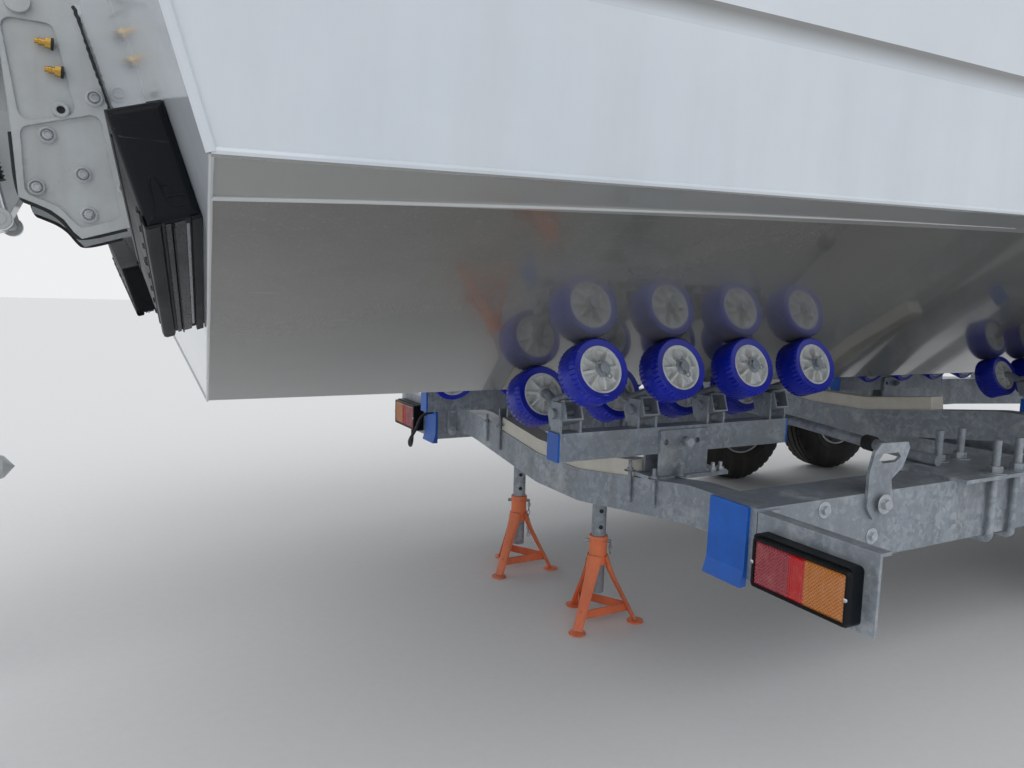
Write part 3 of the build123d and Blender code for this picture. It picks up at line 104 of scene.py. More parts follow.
def calc(operation, first, second=0, clamp=False):
    # One sum of two numbers or sockets; like the helpers after it, it gives the output socket.
    return addNode(None, "Math", {0: first, 1: second}, operation=operation, use_clamp=clamp).outputs[0]


def times(*values):
    return reduce(lambda first, second: calc("MULTIPLY", first, second), values)


def plus(first, second):
    return calc("ADD", first, second)


def size(value):
    return calc("ABSOLUTE", value)


def remap(value, low, high, newLow=0, newHigh=1):
    inputs = {"Value": value, "From Min": low, "From Max": high, "To Min": newLow, "To Max": newHigh}
    return addNode(None, "MapRange", inputs).outputs[0]


def rgb(colour):
    # Screen colour from 0 to 255 made linear; sockets and linear colours of four numbers stay as they are.
    if not isinstance(colour, tuple) or len(colour) == 4:
        return colour
    parts = [(value / 255 + 0.055) / 1.055 if value > 10 else value / 255 / 12.92 for value in colour]
    return tuple(part ** 2.4 if part > 0.04 else part for part in parts) + (1,)


def mixColour(factor, first, second, blend="MIX"):
    inputs = {0: factor, 6: rgb(first), 7: rgb(second)}
    return addNode(None, "Mix", inputs, data_type="RGBA", blend_type=blend).outputs[2]


def noise(vector, scale, detail=3, roughness=0.55, output="Fac"):
    inputs = {"Vector": vector, "Scale": scale, "Detail": detail, "Roughness": roughness}
    return addNode(None, "TexNoise", inputs).outputs[output]


def cells(vector, scale, output="Distance", **settings):
    return addNode(None, "TexVoronoi", {"Vector": vector, "Scale": scale}, **settings).outputs[output]


def ramp(factor, stops, interpolation="LINEAR"):
    # Stops are (place, screen colour) or (place, linear grey).
    node = addNode(None, "ValToRGB", {0: factor})
    node.color_ramp.interpolation = interpolation
    points = node.color_ramp.elements
    while len(points) < len(stops):
        points.new(0.5)
    for point, (place, colour) in zip(points, stops):
        point.position = place
        point.color = rgb(colour) if isinstance(colour, tuple) else (colour, colour, colour, 1)
    return node.outputs[0]


def vectorMath(operation, first, second):
    return addNode(None, "VectorMath", {0: first, 1: second}, operation=operation).outputs


def stretched(vector, scale, rotation=(0, 0, 0)):
    return addNode(None, "Mapping", {"Vector": vector, "Rotation": rotation, "Scale": scale}).outputs[0]


def objectPlace(tree):
    return addNode(tree, "TexCoord").outputs["Object"]


def axesOf(vector):
    return addNode(None, "SeparateXYZ", {0: vector}).outputs


def trueNormal(tree):
    return addNode(tree, "NewGeometry").outputs["Normal"]


def useEffect(tree, group, *values):
    # Places a shared effect, its inputs set or linked in their order, and gives its outputs.
    return addNode(tree, "Group", dict(enumerate(values)), node_tree=group).outputs


def makeEffect(name, inputs, outputs, build):
    # A shader group; inputs are named numbers with their start values, and build gives a socket per output.
    group = bpy.data.node_groups.new(name, "ShaderNodeTree")
    for label, value in inputs.items():
        socket = group.interface.new_socket(name=label, in_out="INPUT", socket_type="NodeSocketFloat")
        socket.default_value = value
    for label in outputs:
        kind = "NodeSocketColor" if label == "Colour" else "NodeSocketFloat"
        group.interface.new_socket(name=label, in_out="OUTPUT", socket_type=kind)
    start, end = group.nodes.new("NodeGroupInput"), group.nodes.new("NodeGroupOutput")
    for label, socket in zip(outputs, build(group, *start.outputs[:len(inputs)])):
        group.links.new(socket, end.inputs[label])
    return group


def wearNodes(group, radius, amount, breakScale):
    # White where the rounded-off normal leaves the true one, broken up by noise.
    rounded = addNode(group, "Bevel", {"Radius": radius}, samples=4).outputs[0]
    bend = remap(vectorMath("DOT_PRODUCT", rounded, trueNormal(group))["Value"], 1, 0.86)
    broken = times(bend, remap(noise(objectPlace(group), breakScale, 5, 0.7), 0.42, 0.6))
    return [calc("MULTIPLY", broken, amount, True)]


def dustNodes(group, amount, scale):
    # White on faces that look up, in patches, with fine speckle at the rim of each patch.
    up = remap(axesOf(trueNormal(group))[2], 0.2, 0.95)
    place = objectPlace(group)
    both = plus(times(noise(place, scale, 4, 0.6), 0.7), times(noise(place, 260, 2, 0.6), 0.3))
    return [calc("MULTIPLY", times(up, remap(both, 0.38, 0.62)), amount, True)]


def streakNodes(group, scale, length):
    # Runs of dirt or water: noise drawn out along the height.
    drawn = addNode(group, "CombineXYZ", {0: 1, 1: 1, 2: length}).outputs[0]
    place = vectorMath("MULTIPLY", objectPlace(group), drawn)[0]
    return [remap(noise(place, scale, 5, 0.6), 0.45, 0.75)]


def scratchNodes(group, scale, width):
    # Short thin marks: only the peaks of a noise that is drawn out along one slanted way, inside rubbed patches.
    marks = noise(stretched(objectPlace(group), (0.5, 9, 9), (0.4, 0.5, 0.3)), scale)
    patches = remap(noise(objectPlace(group), 3.6), 0.48, 0.62)
    return [times(remap(marks, 0.66, plus(0.66, width)), patches)]


def grainNodes(group, scale):
    # Fine pebble: cells for the bumps, noise to make them uneven.
    place = objectPlace(group)
    return [plus(cells(place, scale, feature="SMOOTH_F1"), noise(place, times(scale, 0.35)))]


def spangleNodes(group, scale, bloomAmount):
    # Zinc crystals: each cell of a Voronoi pattern has its own grey, with pale bloom over them.
    place = objectPlace(group)
    bent = vectorMath("ADD", place, stretched(noise(place, 40, 2, 0.5, "Color"), (0.02, 0.02, 0.02)))[0]
    tone = addNode(None, "SeparateColor", {0: cells(bent, scale, "Color")}).outputs[0]
    grey = ramp(tone, [(0, (132, 141, 151)), (0.5, (150, 159, 169)), (1, (174, 182, 190))])
    cloud = noise(place, 5, 6, 0.68)
    dull = mixColour(remap(cloud, 0.35, 0.65), grey, (140, 148, 157))
    bloom = times(remap(noise(place, 9, 7, 0.72), 0.53, 0.68), bloomAmount)
    speck = times(remap(noise(place, 130, 3, 0.6), 0.62, 0.7), 0.35)
    white = mixColour(calc("MAXIMUM", bloom, speck), dull, (212, 217, 220))
    return [white, plus(remap(tone, 0, 1, 0.34, 0.5), times(bloom, 0.3)), plus(times(tone, 0.35), cloud)]


edgeWear = makeEffect("edge wear", {"Radius": 0.004, "Amount": 1, "Break Scale": 60}, ["Mask"], wearNodes)
settledDust = makeEffect("settled dust", {"Amount": 0.5, "Scale": 6}, ["Mask"], dustNodes)
streaks = makeEffect("streaks", {"Scale": 14, "Length": 0.12}, ["Mask"], streakNodes)
scratches = makeEffect("scratches", {"Scale": 20, "Width": 0.05}, ["Mask"], scratchNodes)
mouldedGrain = makeEffect("moulded grain", {"Scale": 400}, ["Height"], grainNodes)
zincSpangle = makeEffect("zinc spangle", {"Scale": 70, "Bloom": 0.5}, ["Colour", "Roughness", "Height"], spangleNodes)
print("shared effects built")


def startMaterial(name, **constants):
    # A material with its Principled BSDF, whose plain numbers are set on the sockets themselves.
    material = bpy.data.materials.new(name)
    material.use_nodes = True
    shader = material.node_tree.nodes["Principled BSDF"]
    for key, value in {"Roughness": 0.4, "Metallic": 0, **constants}.items():
        shader.inputs[key].default_value = value
    return material, material.node_tree, shader


def finishMaterial(material, shader, colour, roughness, bump=None):
    # Links colour and roughness, and a bump of (height, strength, distance).
    links = material.node_tree.links
    links.new(colour, shader.inputs["Base Color"])
    links.new(roughness, shader.inputs["Roughness"])
    if bump:
        inputs = dict(zip(("Height", "Strength", "Distance"), bump))
        links.new(addNode(None, "Bump", inputs).outputs[0], shader.inputs["Normal"])
    return material


# What each layer of a painted finish takes after its colour, where the look doesn't say it.
paintStart = {"dirt": (0.5, 14, 0.12), "worn": (0.8, 0.004, 60), "scratch": (0.5, 20), "dust": (0.4,)}
# The mask of each layer and how much rougher it makes the paint.
paintLayers = {
    "dirt": (lambda tree, amount, scale, length: times(useEffect(tree, streaks, scale, length)[0], amount), 0.3),
    "worn": (lambda tree, amount, radius, scale: useEffect(tree, edgeWear, radius, amount, scale)[0], 0),
    "scratch": (lambda tree, amount, scale: times(useEffect(tree, scratches, scale, 0.05)[0], amount), 0),
    "dust": (lambda tree, amount: useEffect(tree, settledDust, amount, 6)[0], 0.35),
}


def paintedFinish(name, look):
    # Two tones by noise, then runs of dirt, worn edges, scratches and dust as the look has them, and a fine grain.
    material, tree, shader = startMaterial(name, **look.get("constants", {}))
    cloud = noise(objectPlace(tree), 7, 6, 0.65)
    colour = mixColour(remap(cloud, 0.3, 0.7), look["dark"], look["light"])
    roughness = remap(cloud, 0.3, 0.7, *look["rough"])
    for kind, (layer, rougher) in paintLayers.items():
        if kind in look:
            tone, *values = look[kind]
            mask = layer(tree, *values, *paintStart[kind][len(values):])
            colour = mixColour(mask, colour, tone)
            roughness = plus(roughness, times(mask, rougher)) if rougher else roughness
    height = plus(useEffect(tree, mouldedGrain, look.get("grain", 500))[0], times(cloud, 0.5))
    bump = (height, look.get("bump", 0.2), 0.0006)
    return finishMaterial(material, shader, colour, calc("MINIMUM", roughness, 0.95), bump)


def zincFinish(name, look):
    # Hot-dip galvanising: spangle, white bloom, faint dirt runs, bright worn edges.
    material, tree, shader = startMaterial(name, Metallic=look["metallic"])
    zinc = useEffect(tree, zincSpangle, look["scale"], look["bloom"])
    runs = useEffect(tree, streaks, 11, 0.2)[0]
    colour = mixColour(times(runs, look["dirtAmount"]), zinc["Colour"], look["dirt"])
    colour = mixColour(useEffect(tree, edgeWear, 0.003, 0.5, 90)[0], colour, (196, 200, 204))
    colour = mixColour(1, colour, look["tint"], "MULTIPLY")
    return finishMaterial(material, shader, colour, plus(zinc["Roughness"], times(runs, 0.2)),
                          (zinc["Height"], 0.25, 0.0012))


def steelFinish(name, look):
    # Polished or brushed metal: fine lines along one way, cloudy fingerprints.
    material, tree, shader = startMaterial(name, Metallic=1)
    place = objectPlace(tree)
    lines = noise(stretched(place, look["along"]), 220, 3, 0.6)
    cloud = noise(place, 9, 5, 0.6)
    colour = mixColour(lines, look["dark"], look["light"])
    colour = mixColour(remap(cloud, 0.55, 0.8, 0, look.get("stainAmount", 0.25)), colour, look["stain"])
    rough = plus(remap(lines, 0.3, 0.7, *look["rough"]), remap(cloud, 0.5, 0.8, 0, 0.12))
    return finishMaterial(material, shader, colour, rough, (lines, look.get("bump", 0.06), 0.0004))


hullLook = {
    # The bottom's two greys, and the chine flat's grey below them, are painted shade on what is white gelcoat.
    "topside": (217, 224, 231), "topsideShade": (204, 212, 221), "bottom": (122, 122, 116),
    "bottomShade": (100, 101, 96), "chineFlatShade": (158, 160, 158), "knuckleShadow": (112, 110, 104),
    # The colour of the knuckle's painted shadow ends the line above, and its span of height starts this line.
    "knuckleShadowRise": (1.283, 1.302), "scum": (150, 140, 118),
    # keel x, distance of the inner chine from the centreline; then the span of x and of that distance
    "chine": [(-0.48, 1.009), (0.9, 1.165), (2.15, 1.222), (3.4, 1.195)], "chineSpan": (-0.6, 3.6, 1.3),
    # keel x, height of the colour's edge over the keel; then the span of x and of that height
    "edge": [(-0.48, 0.403), (0.9, 0.458), (2.15, 0.478), (3.4, 0.468), (4.3, 0.504), (5.15, 0.596),
             (5.85, 0.746), (6.3, 0.934), (6.48, 1.068)], "edgeSpan": (-0.6, 6.6, 1.2),
    # normal's z under which a face is bottom, keel x from which the edge alone decides, where the flat ends, then
    # where the knuckle's painted shadow fades along x and the facing it needs
    "downward": -0.33, "bow": 3.6, "flatEnd": 3.4, "knuckleShadowFade": (2.4, 3.6), "knuckleShadowFacing": (-0.2, -0.26),
}


def lineAlong(x, line, span, interpolation="LINEAR"):
    # The second number of a line's points by their keel x, drawn by a ramp over the span.
    low, high, most = span
    stops = [((place - low) / (high - low), value / most) for place, value in line]
    return times(ramp(remap(x, keelX + low, keelX + high), stops, interpolation), most)


def hullFinish():
    # Gelcoat: bluish white above the chine, and under it grey that is painted shade on the white gelcoat, where the
    # ramp over x gives the edge's height.
    look = hullLook
    material, tree, shader = startMaterial("gelcoatHull", **{"Coat Weight": 0.6, "Coat Roughness": 0.05})
    place = objectPlace(tree)
    axes, facing = axesOf(place), axesOf(trueNormal(tree))
    over = calc("SUBTRACT", calc("SUBTRACT", axes[2], keelHeight), lineAlong(axes[0], look["edge"], look["edgeSpan"]))
    downward = calc("MAXIMUM", calc("LESS_THAN", facing[2], look["downward"]),
                    calc("GREATER_THAN", axes[0], keelX + look["bow"]))
    # Mask of the bottom, where the painted shade goes.
    bottom = times(calc("LESS_THAN", over, 0), downward)
    cloud = noise(place, 2.2, 6, 0.6)
    tone = remap(cloud, 0.3, 0.7)
    upper = mixColour(tone, look["topsideShade"], look["topside"])
    # The bottom's tones are painted shade: greys that stand for white gelcoat in shade.
    lower = mixColour(tone, look["bottomShade"], look["bottom"])
    runs = useEffect(tree, streaks, 9, 0.1)[0]
    upper = mixColour(times(runs, remap(over, 0, 0.35, 0.12, 0)), upper, look["scum"])
    # Painted shadow on the knuckle's face, which looks down more than the topsides do; none on the bow's flare.
    knuckle = times(remap(facing[2], *look["knuckleShadowFacing"]), calc("LESS_THAN", size(facing[0]), 0.5),
                    remap(axes[0], *(keelX + x for x in look["knuckleShadowFade"]), 1, 0), remap(axes[2], *look["knuckleShadowRise"]))
    upper = mixColour(times(knuckle, 0.8), upper, look["knuckleShadow"])
    fleck = noise(place, 420, 2, 0.6)
    spots = remap(noise(place, 150, 3, 0.65), 0.6, 0.68)
    lower = mixColour(times(spots, 0.15), lower, (172, 170, 164))
    lower = mixColour(remap(fleck, 0.35, 0.65, 0, 0.35), lower, (88, 87, 84))
    # The chine flat gets a lighter grey, which is also painted shade on the white gelcoat.
    chine = lineAlong(axes[0], look["chine"], look["chineSpan"], "B_SPLINE")
    onFlat = times(calc("GREATER_THAN", size(axes[1]), chine), calc("LESS_THAN", axes[0], keelX + look["flatEnd"]))
    lower = mixColour(times(onFlat, 0.8), lower, look["chineFlatShade"])
    colour = mixColour(bottom, upper, lower)
    colour = mixColour(times(useEffect(tree, scratches, 14, 0.08)[0], 0.12), colour, (222, 224, 226))
    rough = plus(remap(cloud, 0.3, 0.7, 0.1, 0.2), times(bottom, 0.06))
    height = plus(noise(place, 26, 3, 0.5), times(fleck, bottom, 0.25))
    return finishMaterial(material, shader, colour, rough, (height, 0.1, 0.0016))


def slantWaves(first, second, slants, scale):
    # Sizes of sine waves along first + slant * second, one for each slant.
    return [size(calc("SINE", times(plus(first, times(second, slant)), scale))) for slant in slants]


def deckFinish():
    # Smooth white gelcoat, with a pressed diamond tread where the deck lies flat.
    material, tree, shader = startMaterial("gelcoatDeck", **{"Coat Weight": 0.4, "Coat Roughness": 0.08})
    place = objectPlace(tree)
    axes = axesOf(place)
    flat = remap(axesOf(trueNormal(tree))[2], 0.93, 0.96)
    diamonds = times(*slantWaves(axes[0], axes[1], (1.6, -1.6), 420), flat)
    colour = mixColour(remap(noise(place, 3, 6, 0.6), 0.3, 0.7), (199, 202, 204), (214, 216, 216))
    colour = mixColour(times(flat, 0.5), colour, (190, 190, 184))
    dust = useEffect(tree, settledDust, 0.25, 4)[0]
    colour = mixColour(dust, colour, (164, 154, 134))
    rough = plus(remap(flat, 0, 1, 0.14, 0.42), times(dust, 0.3))
    return finishMaterial(material, shader, colour, rough, (diamonds, 0.35, 0.0012))


def glassFinish():
    # Tinted screen: the tint varies a little, with dried drops that only change the roughness.
    material, tree, shader = startMaterial("screenGlass", **{"Transmission Weight": 0.85, "IOR": 1.45})
    place = objectPlace(tree)
    colour = mixColour(noise(place, 5, 4), (150, 166, 170), (172, 186, 189))
    return finishMaterial(material, shader, colour, remap(cells(place, 90), 0, 0.25, 0.12, 0.03))


def vinylFinish():
    # Stitched vinyl: creased grain, a slightly darker tone in the folds, dust on top.
    material, tree, shader = startMaterial("seatVinyl", **{"Sheen Weight": 0.15, "Specular IOR Level": 0.4})
    place = objectPlace(tree)
    grain = remap(cells(place, 320, 0, feature="DISTANCE_TO_EDGE"), 0, 0.18)
    cloud = noise(place, 6, 5, 0.6)
    tone = mixColour(remap(cloud, 0.3, 0.7), (208, 204, 194), (224, 221, 213))
    tone = mixColour(remap(grain, 0, 1, 0.25, 0), tone, (168, 163, 152))
    tone = mixColour(useEffect(tree, settledDust, 0.18, 9)[0], tone, (160, 152, 136))
    height = plus(grain, noise(place, 60, 4, 0.6))
    return finishMaterial(material, shader, tone, remap(cloud, 0.3, 0.7, 0.42, 0.58), (height, 0.3, 0.0008))


# y and z of the lens, x of its face and back, pitch and depth of its diamonds, the plain part's share and the rim
lampLook = {"y": (0.923, 1.143), "z": (-0.281, -0.181), "face": 0.888, "back": 0.9, "pitch": 0.0072,
            "relief": 0.0022, "plain": (0.4, 0.58), "rim": 0.007, "grid": (61, 133)}


def lensFinish():
    # Lamp lens: pink-red inboard, plain red in the middle, amber outboard; darker lines between the cut diamonds.
    constants = {"Roughness": 0.12, "Transmission Weight": 0.15, "IOR": 1.49, "Coat Weight": 0.5}
    material, tree, shader = startMaterial("lampLens", **constants)
    place = objectPlace(tree)
    axes = axesOf(place)
    side = size(axes[1])
    across = remap(side, *lampLook["y"])
    colour, dark = (ramp(across, list(zip((0, 0.42, 0.58), tones)), "CONSTANT") for tones in (
        [(184, 62, 76), (206, 8, 18), (222, 138, 52)], [(98, 20, 32), (172, 4, 12), (140, 70, 16)]))
    lines = [remap(wave, 0, 0.55, 1, 0) for wave in
             slantWaves(side, axes[2], (1, -1), math.pi / lampLook["pitch"])]
    cloud = noise(place, 30, 4)
    colour = mixColour(times(calc("MAXIMUM", *lines), 0.85), colour, dark)
    colour = mixColour(remap(cloud, 0.5, 0.8, 0, 0.2), colour, (236, 186, 160))
    return finishMaterial(material, shader, colour, remap(cloud, 0.3, 0.7, 0.08, 0.2))


# Two tones and their roughness, then layers as (colour, amount, ...): dirt adds scale and length, wear adds radius
# and scale, scratches add scale.
finishLooks = {
    "black_rubber": {"dark": (20, 21, 22), "light": (34, 35, 36), "rough": (0.5, 0.68), "scratch": ((92, 92, 90),),
        "dust": ((120, 114, 102), 0.3), "grain": 700, "bump": 0.25},
    "black_plastic": {"dark": (5, 9, 14), "light": (11, 16, 23), "rough": (0.34, 0.5), "worn": ((56, 60, 66), 0.25),
        "scratch": ((110, 112, 116), 0.3), "dust": ((128, 124, 116), 0.1), "grain": 900, "bump": 0.3,
        "constants": {"Specular IOR Level": 0.2}},
    # cast_white's tones are set darker than the bracket's white paint, to stand for the shade it lies in: white paint
    # with painted shade.
    "cast_white": {"dark": (176, 180, 182), "light": (196, 200, 201), "rough": (0.22, 0.36),
        "dirt": ((140, 132, 116), 0.25), "worn": ((120, 124, 128), 0.5), "grain": 260, "bump": 0.12,
        "constants": {"Coat Weight": 0.4, "Coat Roughness": 0.1}},
    "engine_grey": {"dark": (66, 71, 78), "light": (84, 90, 98), "rough": (0.16, 0.28),
        "scratch": ((170, 172, 176), 0.3), "dust": ((150, 146, 138), 0.2), "bump": 0.06,
        "constants": {"Coat Weight": 0.6, "Coat Roughness": 0.06}},
    "seat_shell": {"dark": (196, 197, 194), "light": (214, 215, 212), "rough": (0.3, 0.45),
        "dirt": ((132, 126, 112), 0.25), "worn": ((150, 150, 146), 0.4)},
    "plated_bolt": {"dark": (172, 179, 186), "light": (208, 214, 219), "rough": (0.28, 0.42),
        "dirt": ((92, 94, 96), 0.35, 60), "bump": 0.1, "constants": {"Metallic": 0.5}},
    "cream_plastic": {"dark": (210, 206, 192), "light": (231, 228, 217), "rough": (0.42, 0.6),
        "dirt": ((128, 124, 114), 0.22, 5, 0.6), "worn": ((238, 234, 222), 0.5), "scratch": ((236, 232, 218),),
        "grain": 320},
    "blue_roller": {"dark": (0, 22, 146), "light": (0, 36, 200), "rough": (0.26, 0.42),
        "worn": ((60, 84, 190), 0.3, 0.002), "scratch": ((146, 156, 196), 0.6, 34), "dust": ((150, 152, 160), 0.12),
        "grain": 800, "bump": 0.12},
    "nylon_hub": {"dark": (214, 218, 219), "light": (232, 235, 236), "rough": (0.35, 0.5),
        "dirt": ((122, 116, 98), 0.55, 30, 0.4), "grain": 420, "bump": 0.15,
        "constants": {"Subsurface Weight": 0.05}},
    "blue_cap": {"dark": (0, 82, 176), "light": (0, 104, 212), "rough": (0.32, 0.48), "worn": ((90, 146, 210), 0.4),
        "scratch": ((130, 170, 220), 0.35), "dust": ((150, 156, 166), 0.2), "grain": 600},
    "orange_paint": {"dark": (226, 104, 60), "light": (243, 136, 88), "rough": (0.35, 0.55),
        "dirt": ((150, 92, 66), 0.4), "worn": ((96, 70, 58), 0.9, 0.005, 40), "scratch": ((188, 184, 180),),
        "dust": ((190, 160, 140), 0.35), "grain": 240},
    "tyre": {"dark": (24, 24, 25), "light": (40, 40, 41), "rough": (0.62, 0.82), "dirt": ((92, 86, 76), 0.4, 20),
        "dust": ((120, 112, 98), 0.5), "grain": 420, "bump": 0.35},
    "steel_rim": {"dark": (158, 162, 166), "light": (186, 190, 194), "rough": (0.3, 0.45), "dirt": ((96, 84, 70),),
        "worn": ((128, 104, 84), 0.5), "bump": 0.1, "constants": {"Metallic": 0.7}},
}
steelLooks = {
    "polished_steel": {"along": (1, 0.1, 1), "dark": (186, 189, 193), "light": (214, 217, 220),
                       "stain": (146, 140, 130), "rough": (0.08, 0.2)},
    "blade_steel": {"along": (1, 0.05, 1), "dark": (150, 153, 157), "light": (190, 193, 197),
                    "stain": (120, 108, 92), "rough": (0.2, 0.36), "bump": 0.12},
    "dark_steel": {"along": (1, 0.05, 1), "dark": (52, 55, 58), "light": (86, 90, 94), "stain": (30, 31, 32),
                   "rough": (0.22, 0.36), "bump": 0.1, "stainAmount": 0.8},
    "brass": {"along": (1, 1, 0.2), "dark": (178, 138, 62), "light": (214, 176, 96), "stain": (110, 88, 50),
              "rough": (0.2, 0.34), "stainAmount": 0.6},
}
zincLooks = {"galvanised_steel": {"metallic": 0.3, "scale": 75, "bloom": 0.6, "dirt": (104, 100, 92),
                                  "dirtAmount": 0.3, "tint": (1, 1, 1, 1)}}

finishes = {"white_gelcoat": deckFinish(), "tinted_glass": glassFinish(), "seat_vinyl": vinylFinish(),
            "lamp_lens": lensFinish(), "hull": hullFinish()}
for build, looks in ((paintedFinish, finishLooks), (steelFinish, steelLooks), (zincFinish, zincLooks)):
    finishes.update({slot: build(slot, look) for slot, look in looks.items()})
nodeSlots = {row["node"]: row["material_slot"] for row in frame["record"]["subparts"]}
for nodeName, cadObject in nodes.items():
    for materialSlot in cadObject.material_slots:
        materialSlot.material = finishes["hull" if nodeName == "hull" else nodeSlots[nodeName]]
print("finishes built:", len(finishes))

stageLook = {"floorHalf": 60, "floor": (0.78, 0.785, 0.79, 1), "speckle": (0.62, 0.62, 0.61, 1),
             "sky": (0.93, 0.94, 0.96, 1), "strength": 0.8, "backdrop": (0.9, 0.91, 0.92, 1), "shine": 0.95,
             # the side each broad sun shines from, and its strength
             "suns": {"keySun": ((-3, -5, 6), 0.55), "fillSun": ((5, 4, 5), 0.25)}, "spread": 50}


def buildStage():
    # A large pale floor, an even pale world, and two broad suns for soft shape.
    look = stageLook
    mesh = bpy.data.meshes.new("stageFloor")
    half = look["floorHalf"]
    mesh.from_pydata([(-half, -half, 0), (half, -half, 0), (half, half, 0), (-half, half, 0)], [], [(0, 1, 2, 3)])
    floor = bpy.data.objects.new("stageFloor", mesh)
    bpy.context.scene.collection.objects.link(floor)
    material, tree, shader = startMaterial("stageFloor", Roughness=0.9)
    speckle = remap(noise(objectPlace(tree), 40, 4, 0.6), 0.3, 0.7, 0, 0.12)
    tree.links.new(mixColour(speckle, look["floor"], look["speckle"]), shader.inputs["Base Color"])
    mesh.materials.append(material)
    world = bpy.data.worlds.new("studio")
    bpy.context.scene.world = world
    world.use_nodes = True
    tree = world.node_tree
    sky = tree.nodes["Background"]
    sky.inputs[0].default_value = look["sky"]
    sky.inputs[1].default_value = look["strength"]
    backdrop = addNode(tree, "Background", {0: look["backdrop"], 1: look["shine"]})
    rays = addNode(tree, "LightPath").outputs
    seen = calc("MAXIMUM", rays["Is Camera Ray"], rays["Is Glossy Ray"])
    seen = calc("MAXIMUM", seen, rays["Is Transmission Ray"])
    mixed = addNode(tree, "MixShader", {0: seen, 1: sky.outputs[0], 2: backdrop.outputs[0]})
    tree.links.new(mixed.outputs[0], tree.nodes["World Output"].inputs[0])
    for name, (place, strength) in look["suns"].items():
        lamp = bpy.data.objects.new(name, bpy.data.lights.new(name, "SUN"))
        lamp.data.angle = math.radians(look["spread"])
        lamp.data.energy = strength
        lamp.rotation_euler = (-Vector(place)).to_track_quat("-Z", "Y").to_euler()
        bpy.context.scene.collection.objects.link(lamp)


buildStage()
print("stage and lamps set")


def gridFaces(rows, columns, closeRows=False, closeColumns=False):
    # Four-cornered faces of a grid of points; a closed way joins its last line to its first.
    row = np.arange(rows if closeRows else rows - 1)
    column = np.arange(columns if closeColumns else columns - 1)
    a, b = (part.ravel() for part in np.meshgrid(row, column, indexing="ij"))
    nextA, nextB = (a + 1) % rows, (b + 1) % columns
    return np.stack([a * columns + b, nextA * columns + b, nextA * columns + nextB, a * columns + nextB], axis=1)


def makeShape(points, quads, rings=()):
    # A shape is its points, its four-cornered faces and any many-cornered faces that close it.
    return np.asarray(points, float).reshape(-1, 3), np.asarray(quads, int).reshape(-1, 4), [list(r) for r in rings]


def joinShapes(shapes):
    # Puts shapes into one, with the later ones' faces counted on from the earlier ones' points.
    points, quads, rings, count = [], [], [], 0
    for somePoints, someQuads, someRings in shapes:
        points.append(somePoints)
        quads.append(someQuads + count)
        rings.extend([[index + count for index in ring] for ring in someRings])
        count += len(somePoints)
    return np.concatenate(points), np.concatenate(quads), rings


def placeShape(shape, matrix):
    # The same faces on points turned and moved: points times the matrix's turn, plus its place.
    points, quads, rings = shape
    return points @ matrix[:3, :3].T + matrix[:3, 3], quads, rings


def frameAt(origin, zAxis=(0, 0, 1), xAxis=(1, 0, 0)):
    # A matrix whose z runs along zAxis and whose x lies nearest to xAxis.
    z = np.asarray(zAxis, float)
    z = z / np.linalg.norm(z)
    x = np.asarray(xAxis, float)
    x = x - z * (x @ z)
    x = x / np.linalg.norm(x)
    matrix = np.eye(4)
    matrix[:3] = np.column_stack([x, np.cross(z, x), z, origin])
    return matrix


def put(shape, origin, zAxis=(0, 0, 1), xAxis=(1, 0, 0)):
    # A shape moved to an origin, with its z along zAxis and its x nearest to xAxis.
    return placeShape(shape, frameAt(origin, zAxis, xAxis))


def bothSides(shapes):
    # The port shapes and their mirror images to starboard; makePiece turns the mirrored faces outwards.
    mirror = np.diag([1, -1, 1, 1])
    return list(shapes) + [placeShape(shape, mirror) for shape in shapes]


def fullTurn(count):
    # Angles evenly round a circle: index times a full turn over count.
    return np.arange(count) * tau / count


def heading(turn):
    # Level direction at an angle from x.
    return np.array([math.cos(turn), math.sin(turn), 0])


def spun(radius, height, angle):
    # Points (radius * cos, radius * sin, height) for a grid of rows and angles.
    radius, height, angle = np.broadcast_arrays(radius, height, angle)
    return np.stack([radius * np.cos(angle), radius * np.sin(angle), height], axis=-1)


def turnedShape(rows, count, closed=False):
    # Turns a profile of (radius, height, 1 for a hexagon) rows, in millimetres, about z.
    # A hexagon's radius is radius / cos(((angle + 30) mod 60) - 30).
    rows = np.array([tuple(row) + (0,) * (3 - len(row)) for row in rows]) * (0.001, 0.001, 1)
    angle = fullTurn(count)
    sixth = 1 / np.cos((angle + np.pi / 6) % (np.pi / 3) - np.pi / 6)
    radius = rows[:, :1] * (1 + rows[:, 2:3] * (sixth - 1))
    return makeShape(spun(radius, rows[:, 1:2], angle), gridFaces(len(rows), count, closed, True))


def unit(ways):
    # Each direction over its length.
    return ways / np.maximum(np.linalg.norm(ways, axis=1, keepdims=True), 1e-9)


def ringsRound(centres, side, over, radius, sides, flat):
    # Round each centre: radius * (cos * side + flat * sin * over).
    angle = fullTurn(sides)[None, :, None]
    return centres[:, None] + radius * (np.cos(angle) * side[:, None] + flat * np.sin(angle) * over[:, None])


def tubeShape(route, radius, sides=8, up=(0, 0, 1), flat=1):
    # Carries a circle, flattened by flat, along a route, with closed ends.
    route = np.asarray(route, float)
    ahead = unit(np.gradient(route, axis=0))
    side = unit(np.cross(ahead, up))
    radius = np.broadcast_to(radius, (len(route),))[:, None, None]
    points = ringsRound(route, side, np.cross(side, ahead), radius, sides, flat)
    last = (len(route) - 1) * sides
    return makeShape(points, gridFaces(len(route), sides, False, True), [range(sides), range(last, last + sides)])


